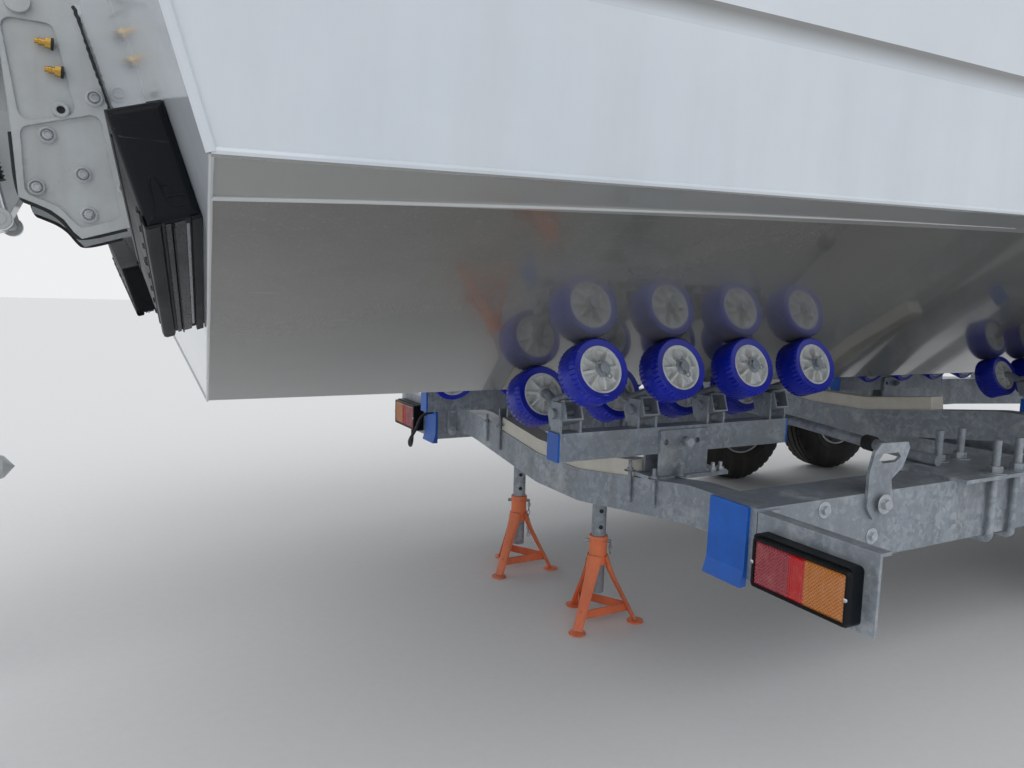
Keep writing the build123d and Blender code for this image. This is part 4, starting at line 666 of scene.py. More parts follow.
def closedTube(loop, radius, sides=8, flat=1):
    # Carries a circle round a closed loop, its side turned away from the loop's middle.
    ahead = unit(np.roll(loop, -1, axis=0) - np.roll(loop, 1, axis=0))
    outward = loop - loop.mean(axis=0)
    side = unit(outward - ahead * np.sum(outward * ahead, axis=1, keepdims=True))
    points = ringsRound(loop, side, np.cross(ahead, side), radius, sides, flat)
    return makeShape(points, gridFaces(len(loop), sides, True, True))


def roundedOutline(width, height, radius, steps=5):
    # Corners of a rounded rectangle about the origin, each arc centre + radius * (cos, sin).
    angle = np.radians((np.arange(4)[:, None] * 90 + np.linspace(0, 90, steps)).ravel())
    signs = np.repeat(np.array([(1, 1), (-1, 1), (-1, -1), (1, -1)]), steps, axis=0)
    centres = signs * np.array([width / 2 - radius, height / 2 - radius])
    return centres + radius * np.column_stack([np.cos(angle), np.sin(angle)])


def slabShape(outline, low, high, bevel):
    # Raises an outline from low to high, all in millimetres, its edges stepped in by the bevel along the normals.
    outline = np.asarray(outline, float)
    before, after = np.roll(outline, 1, axis=0), np.roll(outline, -1, axis=0)
    way = after - before
    area = np.sum(outline[:, 0] * after[:, 1] - after[:, 0] * outline[:, 1])
    inner = outline + np.sign(area) * unit(np.column_stack([-way[:, 1], way[:, 0]])) * bevel
    layers = [(inner, low), (outline, low + bevel), (outline, high - bevel), (inner, high)]
    count = len(outline)
    points = np.concatenate([np.column_stack([layer, np.full(count, float(height))]) for layer, height in layers])
    ends = [range(count), range(3 * count, 4 * count)]
    return makeShape(points * 0.001, gridFaces(4, count, False, True), ends)


def plate(width, height, radius, low, high, bevel, steps=5):
    # A slab whose outline is a rounded rectangle about the origin, in millimetres.
    return slabShape(roundedOutline(width, height, radius, steps), low, high, bevel)


def makePiece(name, shapes, slot, body="outfit", finish=None, hides=(), smooth=32):
    # Joins shapes into one object at the origin, merges doubles, points its faces outwards and rides it on a body.
    points, quads, rings = joinShapes(shapes)
    mesh = bpy.data.meshes.new(name)
    sizes = np.array([4] * len(quads) + [len(ring) for ring in rings])
    corners = np.concatenate([quads.ravel(), np.array(sum(rings, []), int)])
    mesh.vertices.add(len(points))
    mesh.vertices.foreach_set("co", (points + keelPlace).ravel())
    mesh.loops.add(len(corners))
    mesh.loops.foreach_set("vertex_index", corners)
    mesh.polygons.add(len(sizes))
    mesh.polygons.foreach_set("loop_start", np.cumsum(sizes) - sizes)
    mesh.update(calc_edges=True)
    work = bmesh.new()
    work.from_mesh(mesh)
    bmesh.ops.remove_doubles(work, verts=work.verts, dist=1e-6)
    bmesh.ops.dissolve_degenerate(work, edges=work.edges, dist=1e-7)
    bmesh.ops.recalc_face_normals(work, faces=work.faces)
    work.to_mesh(mesh)
    work.free()
    mesh.shade_smooth()
    mesh.set_sharp_from_angle(angle=math.radians(smooth))
    mesh.materials.append(finishes[finish or slot])
    piece = bpy.data.objects.new(name, mesh)
    bpy.context.scene.collection.objects.link(piece)
    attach(piece, body)
    if hides:
        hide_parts(*hides)
    return piece


def seatOn(nodeName, origin, direction, xAxis=(1, 0, 0)):
    # The frame where a ray first meets a CAD piece, its z along the surface's normal, in the keel frame.
    mesh = nodes[nodeName].data
    tree = BVHTree.FromPolygons([vertex.co for vertex in mesh.vertices], [face.vertices for face in mesh.polygons])
    place, normal = tree.ray_cast(Vector(origin) + Vector(keelPlace), Vector(direction))[:2]
    return frameAt(np.array(place) - keelPlace, normal, xAxis)


def smoothRoute(points, steps=40):
    # Chaikin corner cutting by whole arrays: each pass keeps points a quarter and three quarters along each run.
    route = np.asarray(points, float)
    while len(route) < steps:
        first, second = route[:-1], route[1:]
        cut = np.stack([0.75 * first + 0.25 * second, 0.25 * first + 0.75 * second], axis=1).reshape(-1, 3)
        route = np.concatenate([route[:1], cut, route[-1:]])
    return route


def alongLine(points, count):
    # Evenly spread points along a line of corners, by straight interpolation over its length.
    points = np.asarray(points, float)
    reach = np.append(0, np.cumsum(np.linalg.norm(np.diff(points, axis=0), axis=1)))
    spots = np.linspace(0, reach[-1], count)
    return np.column_stack([np.interp(spots, reach, points[:, axis]) for axis in range(3)])


def bothShoulders(side, half):
    # Rows of (radius, depth in from the shoulder, shares), the first two in millimetres, and their mirror image.
    rows = np.array(side, float)
    rows[:, 0], rows[:, 1] = rows[:, 0] * 0.001, half - rows[:, 1] * 0.001
    mirrored = rows[::-1].copy()
    mirrored[:, 1] *= -1
    return np.concatenate([rows, mirrored])


def hexBolt(acrossFlats, washer=True, stud=0, pitch=0):
    # Washer, chamfered hexagon head or nut, and the stud end with its thread as rings of two radii; millimetres.
    half = acrossFlats / 2
    thick = half * 0.22 if washer else 0
    top = thick + half * 0.85
    rows = [(0, 0)]
    if washer:
        rows += [(half * 1.95, 0), (half * 2, thick * 0.5), (half * 1.9, thick)]
    rows += [(half, thick, 1), (half, thick + half * 0.85 * 0.86, 1), (half * 0.97, top)]
    if stud:
        radius, count = half * 0.6, max(2, int(stud / pitch))
        rows += zip(radius * (1 - 0.09 * (np.arange(count) % 2)), np.linspace(top, top + stud, count))
        rows += [(radius * 0.75, top + stud + 1), (0, top + stud + 1)]
    else:
        rows += [(half * 0.55, top), (half * 0.5, top - 0.6), (0, top - 0.6)]
    return turnedShape(rows, 24)


cradleLook = {
    "pivots": (1.117, 3.162), "pitch": 0.232, "rollerRadius": 0.076, "rollerWidth": 0.075, "gap": 0.0003,
    "outerReach": 0.567, "innerReach": 0.303, "teeth": 40, "toothDepth": 0.0028, "ribs": 8, "sleeve": 0.0406,
    # radius, depth in from the shoulder, share of the tooth cut into it
    "tread": [(55.2, 3.5, 0), (70, 0.5, 0), (72.8, 2.2, 0.5), (74.5, 4, 1), (75.8, 6.5, 1), (76, 18.5, 0.9),
              (75.2, 20, 0), (75.7, 24, 0)],
    # radius, dish height, rib top height
    "hub": [(11.8, 40, 40), (17.5, 40, 40), (18.6, 37, 38.5), (20, 21.5, 37.5), (29, 20, 35.2), (40, 20.5, 32.5),
            (47, 22.5, 30), (49.2, 33, 33), (51, 35, 35), (54.9, 35, 35)],
    "washer": [(11.8, 0), (19.5, 0), (20, 0.6), (20, 2.2), (19.4, 2.8), (11.8, 2.8)],
    "pin": [(-0.0215, 0.0068), (-0.0165, 0.0026), (-0.013, 0.001), (0.013, 0.001)],
}


def rollerPlaces(look):
    # One matrix per roller: z along its axle away from the keel, x along the boat; with a note of inner or outer.
    places = []
    for pivot in look["pivots"]:
        for station in range(4):
            x = pivot + (station - 1.5) * look["pitch"]
            for reach in (look["outerReach"], look["innerReach"]):
                # Reach runs up the slope from the keel, drop hangs square to it.
                middle, drop = reach - look["rollerWidth"] / 2, look["rollerRadius"] + look["gap"]
                y, z = middle * slopeCos + drop * slopeSin, middle * slopeSin - drop * slopeCos
                places += [(frameAt((x, side * y, z), (0, side * slopeCos, slopeSin)), reach == look["innerReach"])
                           for side in (1, -1)]
    return places


def treadShape(look):
    # A ring whose radius drops by a saw wave of the angle on both shoulders; the profile closes through the bore.
    rows = bothShoulders(look["tread"], look["rollerWidth"] / 2)
    count = look["teeth"] * 4
    radius = rows[:, :1] - look["toothDepth"] * rows[:, 2:3] * np.tile([0, 0.35, 0.75, 1], look["teeth"])
    return makeShape(spun(radius, rows[:, 1:2], fullTurn(count)), gridFaces(len(rows), count, True, True))


def hubShape(look):
    # Both faces are a dish, height by radius, raised to a sloping top inside straight ribs.
    face, angle, part = np.array(look["hub"]) * 0.001, fullTurn(96), tau / look["ribs"]
    away = np.abs((angle + part / 2) % part - part / 2)
    taper = 0.0046 - 0.03 * (face[:, :1] - 0.02)
    inRib = np.clip((taper - away * face[:, :1]) / 0.0014 + 0.5, 0, 1)
    upper = spun(face[:, :1], face[:, 1:2] + (face[:, 2:3] - face[:, 1:2]) * inRib, angle)
    points = np.concatenate([upper, upper[::-1] * (1, 1, -1)])
    return makeShape(points, gridFaces(len(points), len(angle), True, True))


def splitPin(look, turn):
    # A wire through the pin: an eye at one end, two bent legs at the other, turned about the axle.
    eye = np.radians(np.linspace(150, -150, 12))
    ring = np.column_stack([0.0215 + 0.0055 * np.cos(eye), 0.0055 * np.sin(eye)])
    upper = np.array(look["pin"])
    flat = np.concatenate([upper, ring, (upper * (1, -1))[::-1]])
    route = np.column_stack([flat, np.zeros(len(flat))])
    return put(tubeShape(route, 0.0017, sides=5), (0, 0, 0), (0, 0, 1), heading(turn))


def buildRollers():
    # Each tread and hub gets its own turn about the axle, and each axle end a washer and a split pin.
    look = cradleLook
    places = rollerPlaces(look)
    turned = [matrix @ frameAt((0, 0, 0), (0, 0, 1), heading(turn))
              for (matrix, inner), turn in zip(places, randomBits.uniform(0, tau, len(places)))]
    for name, shape, slot, node in (("roller_treads_cut", treadShape(look), "blue_roller", "roller_treads"),
                                    ("roller_hubs_ribbed", hubShape(look), "nylon_hub", "roller_hubs")):
        makePiece(name, [placeShape(shape, matrix) for matrix in turned], slot, hides=[node])
    washer = turnedShape(look["washer"], 24, closed=True)
    ends = []
    for (matrix, inner), turn in zip(places, randomBits.uniform(-1.2, -0.2, len(places))):
        sign = -1 if inner else 1
        out = matrix @ frameAt((0, 0, sign * look["sleeve"]), (0, 0, sign))
        ends += [placeShape(washer, out), placeShape(splitPin(look, turn), out @ frameAt((0, 0, 0.006)))]
    makePiece("axle_washers_and_split_pins", ends, "galvanised_steel")


buildRollers()
print("rollers built")


def lensShape(look):
    # Face height is the product of two slanted saw waves, which makes diamonds, and ribs in the plain middle part.
    rows, columns = look["grid"]
    across, up = np.meshgrid(np.linspace(0, 1, columns), np.linspace(0, 1, rows))
    y, z = (low + look["rim"] + share * (high - low - 2 * look["rim"])
            for (low, high), share in ((look["y"], across), (look["z"], up)))
    first, second = (np.abs((way / look["pitch"]) % 1 - 0.5) * 2 for way in (y + z, y - z))
    ribs = 0.5 + 0.3 * np.cos(y * tau / 0.0045)
    plain = (across > look["plain"][0]) & (across < look["plain"][1])
    height = np.where(plain, ribs, np.minimum(first, second))
    border = np.minimum(np.minimum(across, 1 - across) * columns, np.minimum(up, 1 - up) * rows)
    crown = 0.0025 * np.clip(border / 4, 0, 1)
    x = look["face"] + 0.0035 - crown - look["relief"] * height * np.clip(border / 3, 0, 1)
    front = np.stack([x, y, z], axis=2)
    edge = np.concatenate([front[0], front[1:, -1], front[-1, -2::-1], front[-2:0:-1, 0]])
    deep = edge * (0, 1, 1) + (look["back"], 0, 0)
    count = len(edge)
    wall = makeShape(np.concatenate([edge, deep]), gridFaces(2, count, False, True), [range(count, 2 * count)])
    return joinShapes([makeShape(front, gridFaces(rows, columns)), wall])


def lampRimShape(look):
    # A rounded frame round the lens: its section, given as step in from the edge and height, follows the outline.
    (lowY, highY), (lowZ, highZ) = look["y"], look["z"]
    section = [(0, 0), (0, 0.0095), (0.0012, 0.0115), (0.0045, 0.012), (0.0068, 0.0105), (0.0072, 0)]
    layers = []
    for step, rise in section:
        outline = roundedOutline(highY - lowY - 2 * step, highZ - lowZ - 2 * step, max(0.008 - step, 0.0008))
        outline = outline + ((lowY + highY) / 2, (lowZ + highZ) / 2)
        layers.append(np.column_stack([np.full(len(outline), look["back"] - rise), outline]))
    return makeShape(np.stack(layers), gridFaces(len(section), len(layers[0]), True, True))


def buildLamps():
    # Cut lens, frame and two screws of each lamp.
    look = lampLook
    makePiece("lamp_lenses_cut", bothSides([lensShape(look)]), "lamp_lens", hides=["lamp_lenses"], smooth=12)
    makePiece("lamp_frames", bothSides([lampRimShape(look)]), "black_plastic")
    screw = turnedShape([(0, 0), (4.2, 0), (4, 1.4), (2.2, 2.2), (0, 2.2)], 16)
    screws = [put(screw, (look["back"] - 0.0118, y, -0.231), (-1, 0, 0), (0, 1, 0)) for y in (0.9262, 1.1398)]
    makePiece("lamp_screws", bothSides(screws), "polished_steel")


buildLamps()

frameLook = {
    "railOuter": 0.892, "railInner": 0.767, "clampTop": -0.131, "members": (1.045, 3.09), "plateTop": -0.178,
    # keel x and z of the bolts on the rail's outer web, and the lashing lug's bolt over the plain one of the frame
    "web": ((1.128, -0.163), (1.29, -0.241), (1.062, -0.236), (2.3, -0.205), (4.2, -0.216), (4.12, -0.216)),
    "lug": (1.301, 0.91, -0.164), "clamps": (1.728, 1.824), "threadRings": 34,
    "clampNut": [(9.3, 0), (26, 0), (26, 3), (15, 3.2), (15, 3.2, 1), (15, 16.5, 1), (14.3, 18.5), (9.3, 18.5)],
    # y of the thin ties, their distance from the member's middle, and the rise of the member's underside over y
    "ties": (0.377, 0.478), "tieHalf": 0.0435, "memberLow": (-0.2938, 0.129, 0.12),
    "plateZ": -0.216, "plateBolts": (0.056, 0.045),
    # distances ahead of the pivot and y of the base plate's nuts, then the pivot bolt's z and its ends: side, y, stud
    "nuts": (0.098, 0.124, 0.459), "pivotZ": -0.091, "pivotEnds": ((1, 0.4683, 0), (-1, 0.3717, 6)),
    "collarPlace": (1.66, 0.6, -0.1066), "tubeWay": (0, 1, -0.074),
    "collar": [(15.5, -16), (20.5, -16), (21.5, -12), (21.5, 12), (20.5, 16), (15.5, 16)],
}


def buildFrameFixings():
    # Bolts, nuts, thin ties and end plates of the trailer's frame, and the cross tube's collar.
    look = frameLook
    outer, inner, clampTop, plateTop = (look[key] for key in ("railOuter", "railInner", "clampTop", "plateTop"))
    web, longNut = hexBolt(19), hexBolt(19, stud=12, pitch=1.5)
    clampNut = turnedShape(look["clampNut"], 24, closed=True)
    shapes = []
    bolts = [put(web, (x, outer, z), (0, 1, 0), (1, 0, 0.3)) for x, z in look["web"]]
    bolts.append(put(hexBolt(23), look["lug"], (0, 1, 0), (1, 0, 0.2)))
    # Nuts and thread of the rail clamps' U-bolts.
    count = look["threadRings"]
    rings = list(zip(9.3 + 0.6 * (np.arange(count) % 2), np.linspace(18.5, 83, count)))
    thread = turnedShape([(0, 18.5)] + rings + [(0, 83)], 16)
    for x in look["clamps"]:
        for y in (inner - 0.012, outer + 0.012):
            shapes += [put(clampNut, (x, y, clampTop), (0, 0, 1), (1, 0.4, 0)), put(thread, (x, y, clampTop))]
    # Thin U-bolts that tie each cradle's base plate round its crossmember, and the plate's two nuts.
    for member, pivot in zip(look["members"], cradleLook["pivots"]):
        for y in look["ties"]:
            start, rise, startY = look["memberLow"]
            low = start + rise * (y - startY)
            sides = member - look["tieHalf"], member + look["tieHalf"]
            legs = [(sides[0], y, z) for z in (-0.15, low + 0.012, low - 0.0045)]
            legs += [(sides[1], y, z) for z in (low - 0.0045, low + 0.012, -0.15)]
            shapes.append(tubeShape(smoothRoute(legs, 36), 0.005, up=(0, 1, 0)))
            shapes += [put(hexBolt(16, stud=10, pitch=1.2), (x, y, plateTop + 0.0002)) for x in sides]
        *aheads, nutY = look["nuts"]
        bolts += [put(longNut, (pivot + ahead, nutY, plateTop)) for ahead in aheads]
        for side, y, stud in look["pivotEnds"]:
            head = hexBolt(24, washer=False, stud=stud, pitch=1.5)
            bolts.append(put(head, (pivot, y, look["pivotZ"]), (0, side, 0), (1, 0, 0.4)))
    # Round-cornered plates with four bolts, where the low crossmembers end on the rails' inner webs.
    wide, tall = look["plateBolts"]
    for member in look["members"]:
        shapes.append(put(plate(150, 128, 22, 0, 10, 1.2, 6), (member, inner - 0.01, look["plateZ"]), (0, 1, 0)))
        bolts += [put(hexBolt(17, stud=6, pitch=1.5), (member + dx, inner - 0.01, look["plateZ"] + dz), (0, -1, 0))
                  for dx in (-wide, wide) for dz in (-tall, tall)]
    makePiece("frame_ties_and_plates", bothSides(shapes), "galvanised_steel")
    makePiece("frame_bolts", bothSides(bolts), "galvanised_steel", finish="plated_bolt")
    collar = put(turnedShape(look["collar"], 28, closed=True), look["collarPlace"], look["tubeWay"])
    makePiece("cross_tube_collars", bothSides([collar]), "black_rubber")


buildFrameFixings()

trimLook = {
    "innerY": 0.523, "outerY": 0.967, "lift": 0.024, "depth": 0.065,
    # step in from both ends, then outs and ups of the section in millimetres: the curved aft band, two ribs,
    # the ridge on the aft face, the step along the top's fore edge, and the ridge under the top
    "ribs": [(4, [47, 50, 62, 66.5, 67.5, 65.5, 65, 65], [-0.2, -4.2, -4.2, -1.5, 6, 14, 14, -0.2]),
             (2, [1.2, 1.2, 12.5, 12.5], [-0.2, -5, -5, -0.2]), (12, [33.5, 33.5, 35.5, 35.5], [-0.2, -6, -6, -0.2]),
             (12, [65, 66.8, 66.8, 65], [18.5, 19, 22.5, 23]), (18, [0.5, 0.5, 18, 20], [137.7, 143, 143, 137.7]),
             (20, [65, 66.6, 66.6, 65], [112, 112.5, 115.5, 116])],
    "strips": [(10, [20, 20, 32.5, 32.5], [-0.2, -2.2, -2.2, -0.2]),
               (10, [37, 37, 43, 43], [-0.2, -2.2, -2.2, -0.2])],
    # out and up of the outline moulded on each end face, then of its two ticks
    "lines": [[(58, 4), (50, 10), (46, 50), (40, 53), (36, 49), (33, 14), (14, 14)],
              [(34, 40), (26, 41), (25, 36)], [(33, 26), (12, 26), (11, 21)]],
    "studs": 8, "bigStud": 4, "studUp": 0.034,
}


def trimPoint(y, up, out):
    # Place on the interceptor: up is counted along the transom from the casing's lower edge, out square to it.
    along = y * bottomSlope * math.hypot(1, transomSlope) + trimLook["lift"] + up
    cosine = 1 / math.hypot(1, transomSlope)
    sine = transomSlope * cosine
    return np.stack(np.broadcast_arrays(-out * cosine - along * sine, y, -out * sine + along * cosine), axis=-1)


def trimStrips(rows, columns=16):
    # Closed bars whose sections are given by outs and ups, carried along the casing from end to end.
    shapes = []
    for inset, outs, ups in rows:
        y = np.linspace(trimLook["innerY"] + inset * 0.001, trimLook["outerY"] - inset * 0.001, columns)
        points = trimPoint(y, np.array(ups)[:, None] * 0.001, np.array(outs)[:, None] * 0.001)
        first = np.arange(len(points)) * columns
        shapes.append(makeShape(points, gridFaces(len(points), columns, True), [first, first + columns - 1]))
    return shapes


def buildTrimDetails():
    # Ribs, strips, moulded lines and studs of the interceptors' casings.
    look = trimLook
    inner, outer = look["innerY"], look["outerY"]
    black = trimStrips(look["ribs"])
    for y, way in ((outer, 1), (inner, -1)):
        for line in look["lines"]:
            outs, ups = np.array(line).T * 0.001
            black.append(tubeShape(smoothRoute(trimPoint(y + way * 0.0003, ups, outs), 16), 0.0013, sides=6,
                                   up=(0, way, 0), flat=0.8))
    makePiece("trim_casing_ribs", bothSides(black), "black_plastic")
    strips = trimStrips(look["strips"])
    stud = turnedShape([(0, 0), (4.6, 0), (4.6, 1.2), (3, 3), (0, 3.4)], 14)
    for index, y in enumerate(np.linspace(inner + 0.035, outer - 0.035, look["studs"])):
        base = trimPoint(y, look["studUp"], look["depth"] + 0.0001)
        aft = trimPoint(y, look["studUp"], look["depth"] + 0.01) - base
        scale = np.diag([1.5, 1.5, 1.5, 1]) if index == look["bigStud"] else np.eye(4)
        strips.append(placeShape(stud, frameAt(base, aft, (0, 1, 0)) @ scale))
    makePiece("trim_casing_strips", bothSides(strips), "polished_steel", finish="dark_steel")


buildTrimDetails()

bracketLook = {
    "face": 0.19, "recess": 0.184,
    # keel x and z of the bolts in the recess and on the face, of the boss, and of the brass hose fittings
    "bolts": {"recess": [(-0.305, 0.56), (-0.246, 0.49), (-0.3265, 0.4585), (-0.238, 0.412)],
              "face": [(-0.222, 0.64), (-0.17, 0.47)]},
    "boss": (-0.28, 0.61), "fittings": ((-0.3, 0.73), (-0.285, 0.68)),
    "ring": [(0, 0), (16.5, 0), (16.5, 4), (13.5, 7.2), (11.8, 7.2), (11.2, 4.2), (0, 4.2)],
    "cap": [(0, 0), (9.8, 0), (9.8, 3.5), (8.5, 5.2), (5.2, 5.6), (4.8, 3, 1), (0, 3)],
    "bossRows": [(7.5, 0), (15, 0), (15, 6), (13, 8), (8.5, 8), (7.5, 7)],
    "brass": [(0, 4.5), (8.5, 4.5, 1), (8.5, 14.5, 1), (6.2, 15), (6.2, 20), (7, 20.5), (7, 24.5), (5, 26.2), (5, 32),
              (0, 32)],
    # keel x and z along the concave lower aft edge
    "edge": [(-0.364, 0.56), (-0.357, 0.437), (-0.33, 0.427), (-0.304, 0.416), (-0.282, 0.399), (-0.266, 0.376),
             (-0.252, 0.363), (-0.169, 0.39)],
    "seam": (0.405, 0.808), "ramY": 0.118, "boot": (-0.404, 0.47), "bootRings": 23, "bootPitch": 4.2,
    "arms": ((-0.429, 0.566), (-0.3945, 0.398)), "rods": (-0.6, 0.8),
    "eye": [(0, -15), (20.5, -15), (21.5, -13.5), (21.5, 13.5), (20.5, 15), (0, 15)],
}


def buildBracketDetails():
    # What the clamp bracket carries on its sides, and the ram between its plates.
    look = bracketLook
    rings, heads, brass, blackPartsAndHoleShade = [], [], [], []
    ring, cap = turnedShape(look["ring"], 28), turnedShape(look["cap"], 24)
    for level, bolts in look["bolts"].items():
        for x, z in bolts:
            rings.append(put(ring, (x, look[level] - 0.0002, z), (0, 1, 0)))
            heads.append(put(cap, (x, look[level] + 0.0038, z), (0, 1, 0)))
    x, z = look["boss"]
    rings.append(put(turnedShape(look["bossRows"], 28, closed=True), (x, look["face"] - 0.004, z), (0, 1, 0)))
    # A thin dark disc inside the boss is the painted shade of its hole.
    hole = turnedShape([(0, 0), (7.8, 0), (7.8, 2), (0, 2)], 20)
    blackPartsAndHoleShade.append(put(hole, (x, look["face"] - 0.003, z), (0, 1, 0)))
    # Brass hexagon fittings with black flanges, lying aft along the plate.
    for x, z in look["fittings"]:
        base = frameAt((x + 0.012, look["recess"] + 0.011, z), (-1, 0, 0.08), (0, 0, 1))
        blackPartsAndHoleShade.append(placeShape(turnedShape([(0, 0), (11.5, 0), (11.5, 4.5), (0, 4.5)], 20), base))
        brass.append(placeShape(turnedShape(look["brass"], 24), base))
    makePiece("bracket_bosses", bothSides(rings), "cast_white")
    makePiece("bracket_bolts", bothSides(heads), "galvanised_steel", finish="blade_steel")
    makePiece("bracket_hose_fittings", bothSides(brass), "polished_steel", finish="brass")
    # Black strip along the lower aft edge, and the ragged sealant where the plates meet the transom.
    route = smoothRoute([(x - 0.0012, 0.186, z - 0.0012) for x, z in look["edge"]], 60)
    blackPartsAndHoleShade.append(tubeShape(route, 0.0052, up=(0, 1, 0), flat=0.55))
    heights = np.linspace(*look["seam"], 60)
    ragged = 0.0012 * np.sin(heights * 410) + 0.0008 * np.sin(heights * 977)
    seam = np.column_stack([-transomSlope * heights - 0.0015 + ragged, 0.1905 + ragged, heights])
    blackPartsAndHoleShade.append(tubeShape(seam, 0.0034 + 0.3 * np.abs(ragged), sides=7, up=(0, 1, 0)))
    makePiece("bracket_rubber_parts_and_hole_shade", bothSides(blackPartsAndHoleShade), "black_rubber")
    # Ribbed boot round the ram, arms from the swivel bracket's side to an eye at each end of it, and two thin rods.
    number, height, y = np.arange(look["bootRings"]), look["bootPitch"], look["ramY"]
    rows = [(0, 0)] + list(zip(23.5 - 4.5 * (number % 2), height * number)) + [(0, height * number[-1])]
    boot = put(turnedShape(rows, 24), (look["boot"][0], y, look["boot"][1]), (-0.25, 0, 1), (0, 1, 0))
    makePiece("ram_boots", bothSides([boot]), "black_rubber", "engine_swivel")
    arms = []
    for x, z in look["arms"]:
        side = seatOn("swivel_bracket", (x, 1, z), (0, -1, 0))[1, 3]
        arms.append(tubeShape([(x, side - 0.01, z), (x, (side + y) / 2, z), (x, y + 0.016, z)], 0.0115, sides=16))
        arms.append(put(turnedShape(look["eye"], 28), (x, y, z), (0, 1, 0)))
    makePiece("ram_arms", bothSides(arms), "cast_white", "engine_swivel")
    rods = [tubeShape([(x - 0.02 * way, y + out * way, z) for x, out, z in
                       ((-0.395, 0.012, 0.4), (-0.402, 0.01, 0.43), (-0.41, 0.008, 0.472))],
                      0.0055, sides=12, up=(0, 1, 0)) for way in look["rods"]]
    makePiece("ram_rods", bothSides(rods), "polished_steel", "engine_swivel")


buildBracketDetails()
print("lamps, frame fixings, interceptors and clamp bracket dressed")


standLook = {
    "x": 1.045, "ys": (-0.185, 0.3), "collarTop": -0.414, "floor": -0.675, "foot": 0.118, "brace": (0.094, 0.046),
    # heights of the collar's rows over the floor
    "collar": [(21.3, 175), (26.2, 175), (26.2, 247), (27.6, 248), (27.6, 259), (26.6, 261), (21.3, 261)],
    "disc": [(0, 0), (23.5, 0), (24.5, 2), (24, 5.5), (15, 7.5), (0, 7.5)],
    # distance from the pipe's middle, height, half width of the folded leg
    "leg": [(0.02, -0.474, 0.023), (0.027, -0.492, 0.0225), (0.034, -0.512, 0.021), (0.048, -0.542, 0.019),
            (0.068, -0.58, 0.0175), (0.095, -0.63, 0.016), (0.116, -0.669, 0.015)],
    "pinTurn": -0.55, "holeTurn": -1.9, "holes": (0.046, 0.094), "chains": (0.03, 0.12), "link": 0.0125,
}


def standShape(y):
    # Collar, three folded legs (a flattened eight-sided tube along each route), round feet and flat braces.
    look = standLook
    middle = np.array([look["x"], y, look["floor"]])
    shapes = [put(turnedShape(look["collar"], 40, closed=True), middle)]
    out, height, half = np.array(look["leg"]).T
    ways = [heading(math.radians(turn)) for turn in (90, 210, 330)]
    for way in ways:
        route = out[:, None] * way + np.column_stack([np.full(len(out), look["x"]), np.full(len(out), y), height])
        shapes.append(tubeShape(route, half, up=way, flat=0.4))
        shapes.append(put(turnedShape(look["disc"], 28), middle + look["foot"] * way))
    reach, rise = look["brace"]
    feet = [middle + reach * way + (0, 0, rise) for way in ways]
    for first, second in zip(feet, feet[1:] + feet[:1]):
        along = second - first
        bar = plate(np.linalg.norm(along) * 1000 + 4, 25, 3, -2, 2, 0.6, 4)
        shapes.append(put(bar, (first + second) / 2, np.cross(along, (0, 0, 1)), along))
    return joinShapes(shapes)


def buildStands():
    # Folded legs, pins, the painted shade of the pipes' holes, and chains of the two stands.
    look = standLook
    pins, holes, links = [], [], []
    # Thin dark discs on each pipe are the painted shade inside its holes.
    hole = turnedShape([(0, 0), (6.4, 0), (6.4, 1.2), (0, 1.2)], 16)
    way, facing = heading(look["pinTurn"]), heading(look["holeTurn"])
    angle = np.linspace(0, tau, 20)[:-1]
    for y in look["ys"]:
        centre = np.array([look["x"], y, look["collarTop"] - 0.018])
        pins.append(tubeShape([centre - way * 0.038, centre, centre + way * 0.036], 0.0056, sides=12))
        loop = centre + way * 0.036 + np.outer(np.cos(angle) * 0.01, np.cross(way, (0, 0, 1)))
        loop = loop + np.outer(np.sin(angle) - 0.7, (0, 0, 0.012))
        pins.append(tubeShape(np.vstack([loop, loop[:2]]), 0.0023, sides=6, up=way))
        holes += [put(hole, centre + facing * 0.0203 + (0, 0, height), facing, (0, 0, 1)) for height in look["holes"]]
    makePiece("stand_folded_frames", [standShape(y) for y in look["ys"]], "orange_paint", hides=["stand_frames"])
    makePiece("stand_pins", pins, "galvanised_steel")
    makePiece("stand_pipe_holes", holes, "black_rubber")
    # The chain of each stand: links are flattened rings, every other one turned a quarter about the chain's line.
    angle = fullTurn(12)
    ring = np.column_stack([0.0078 * np.cos(angle), 0.0044 * np.sin(angle), np.zeros(12)])
    link = tubeShape(np.vstack([ring, ring[:2]]), 0.0013, sides=5)
    for y, length in zip(look["ys"], look["chains"]):
        count = int(length / look["link"])
        share = np.linspace(0, 1, count + 1)
        sway = np.sin(np.pi * share)
        line = np.column_stack([-0.004 * sway, -0.003 * sway, -length * share])
        line = line + (look["x"] + 0.03, y - 0.02, look["collarTop"] - 0.026)
        for index in range(count):
            along = line[index + 1] - line[index]
            across = np.cross(along, (0.3, 1, 0.2) if index % 2 else (1, -0.3, 0.1))
            links.append(put(link, (line[index] + line[index + 1]) / 2, across, along))
    makePiece("stand_chains", links, "galvanised_steel")


buildStands()
print("stands dressed")

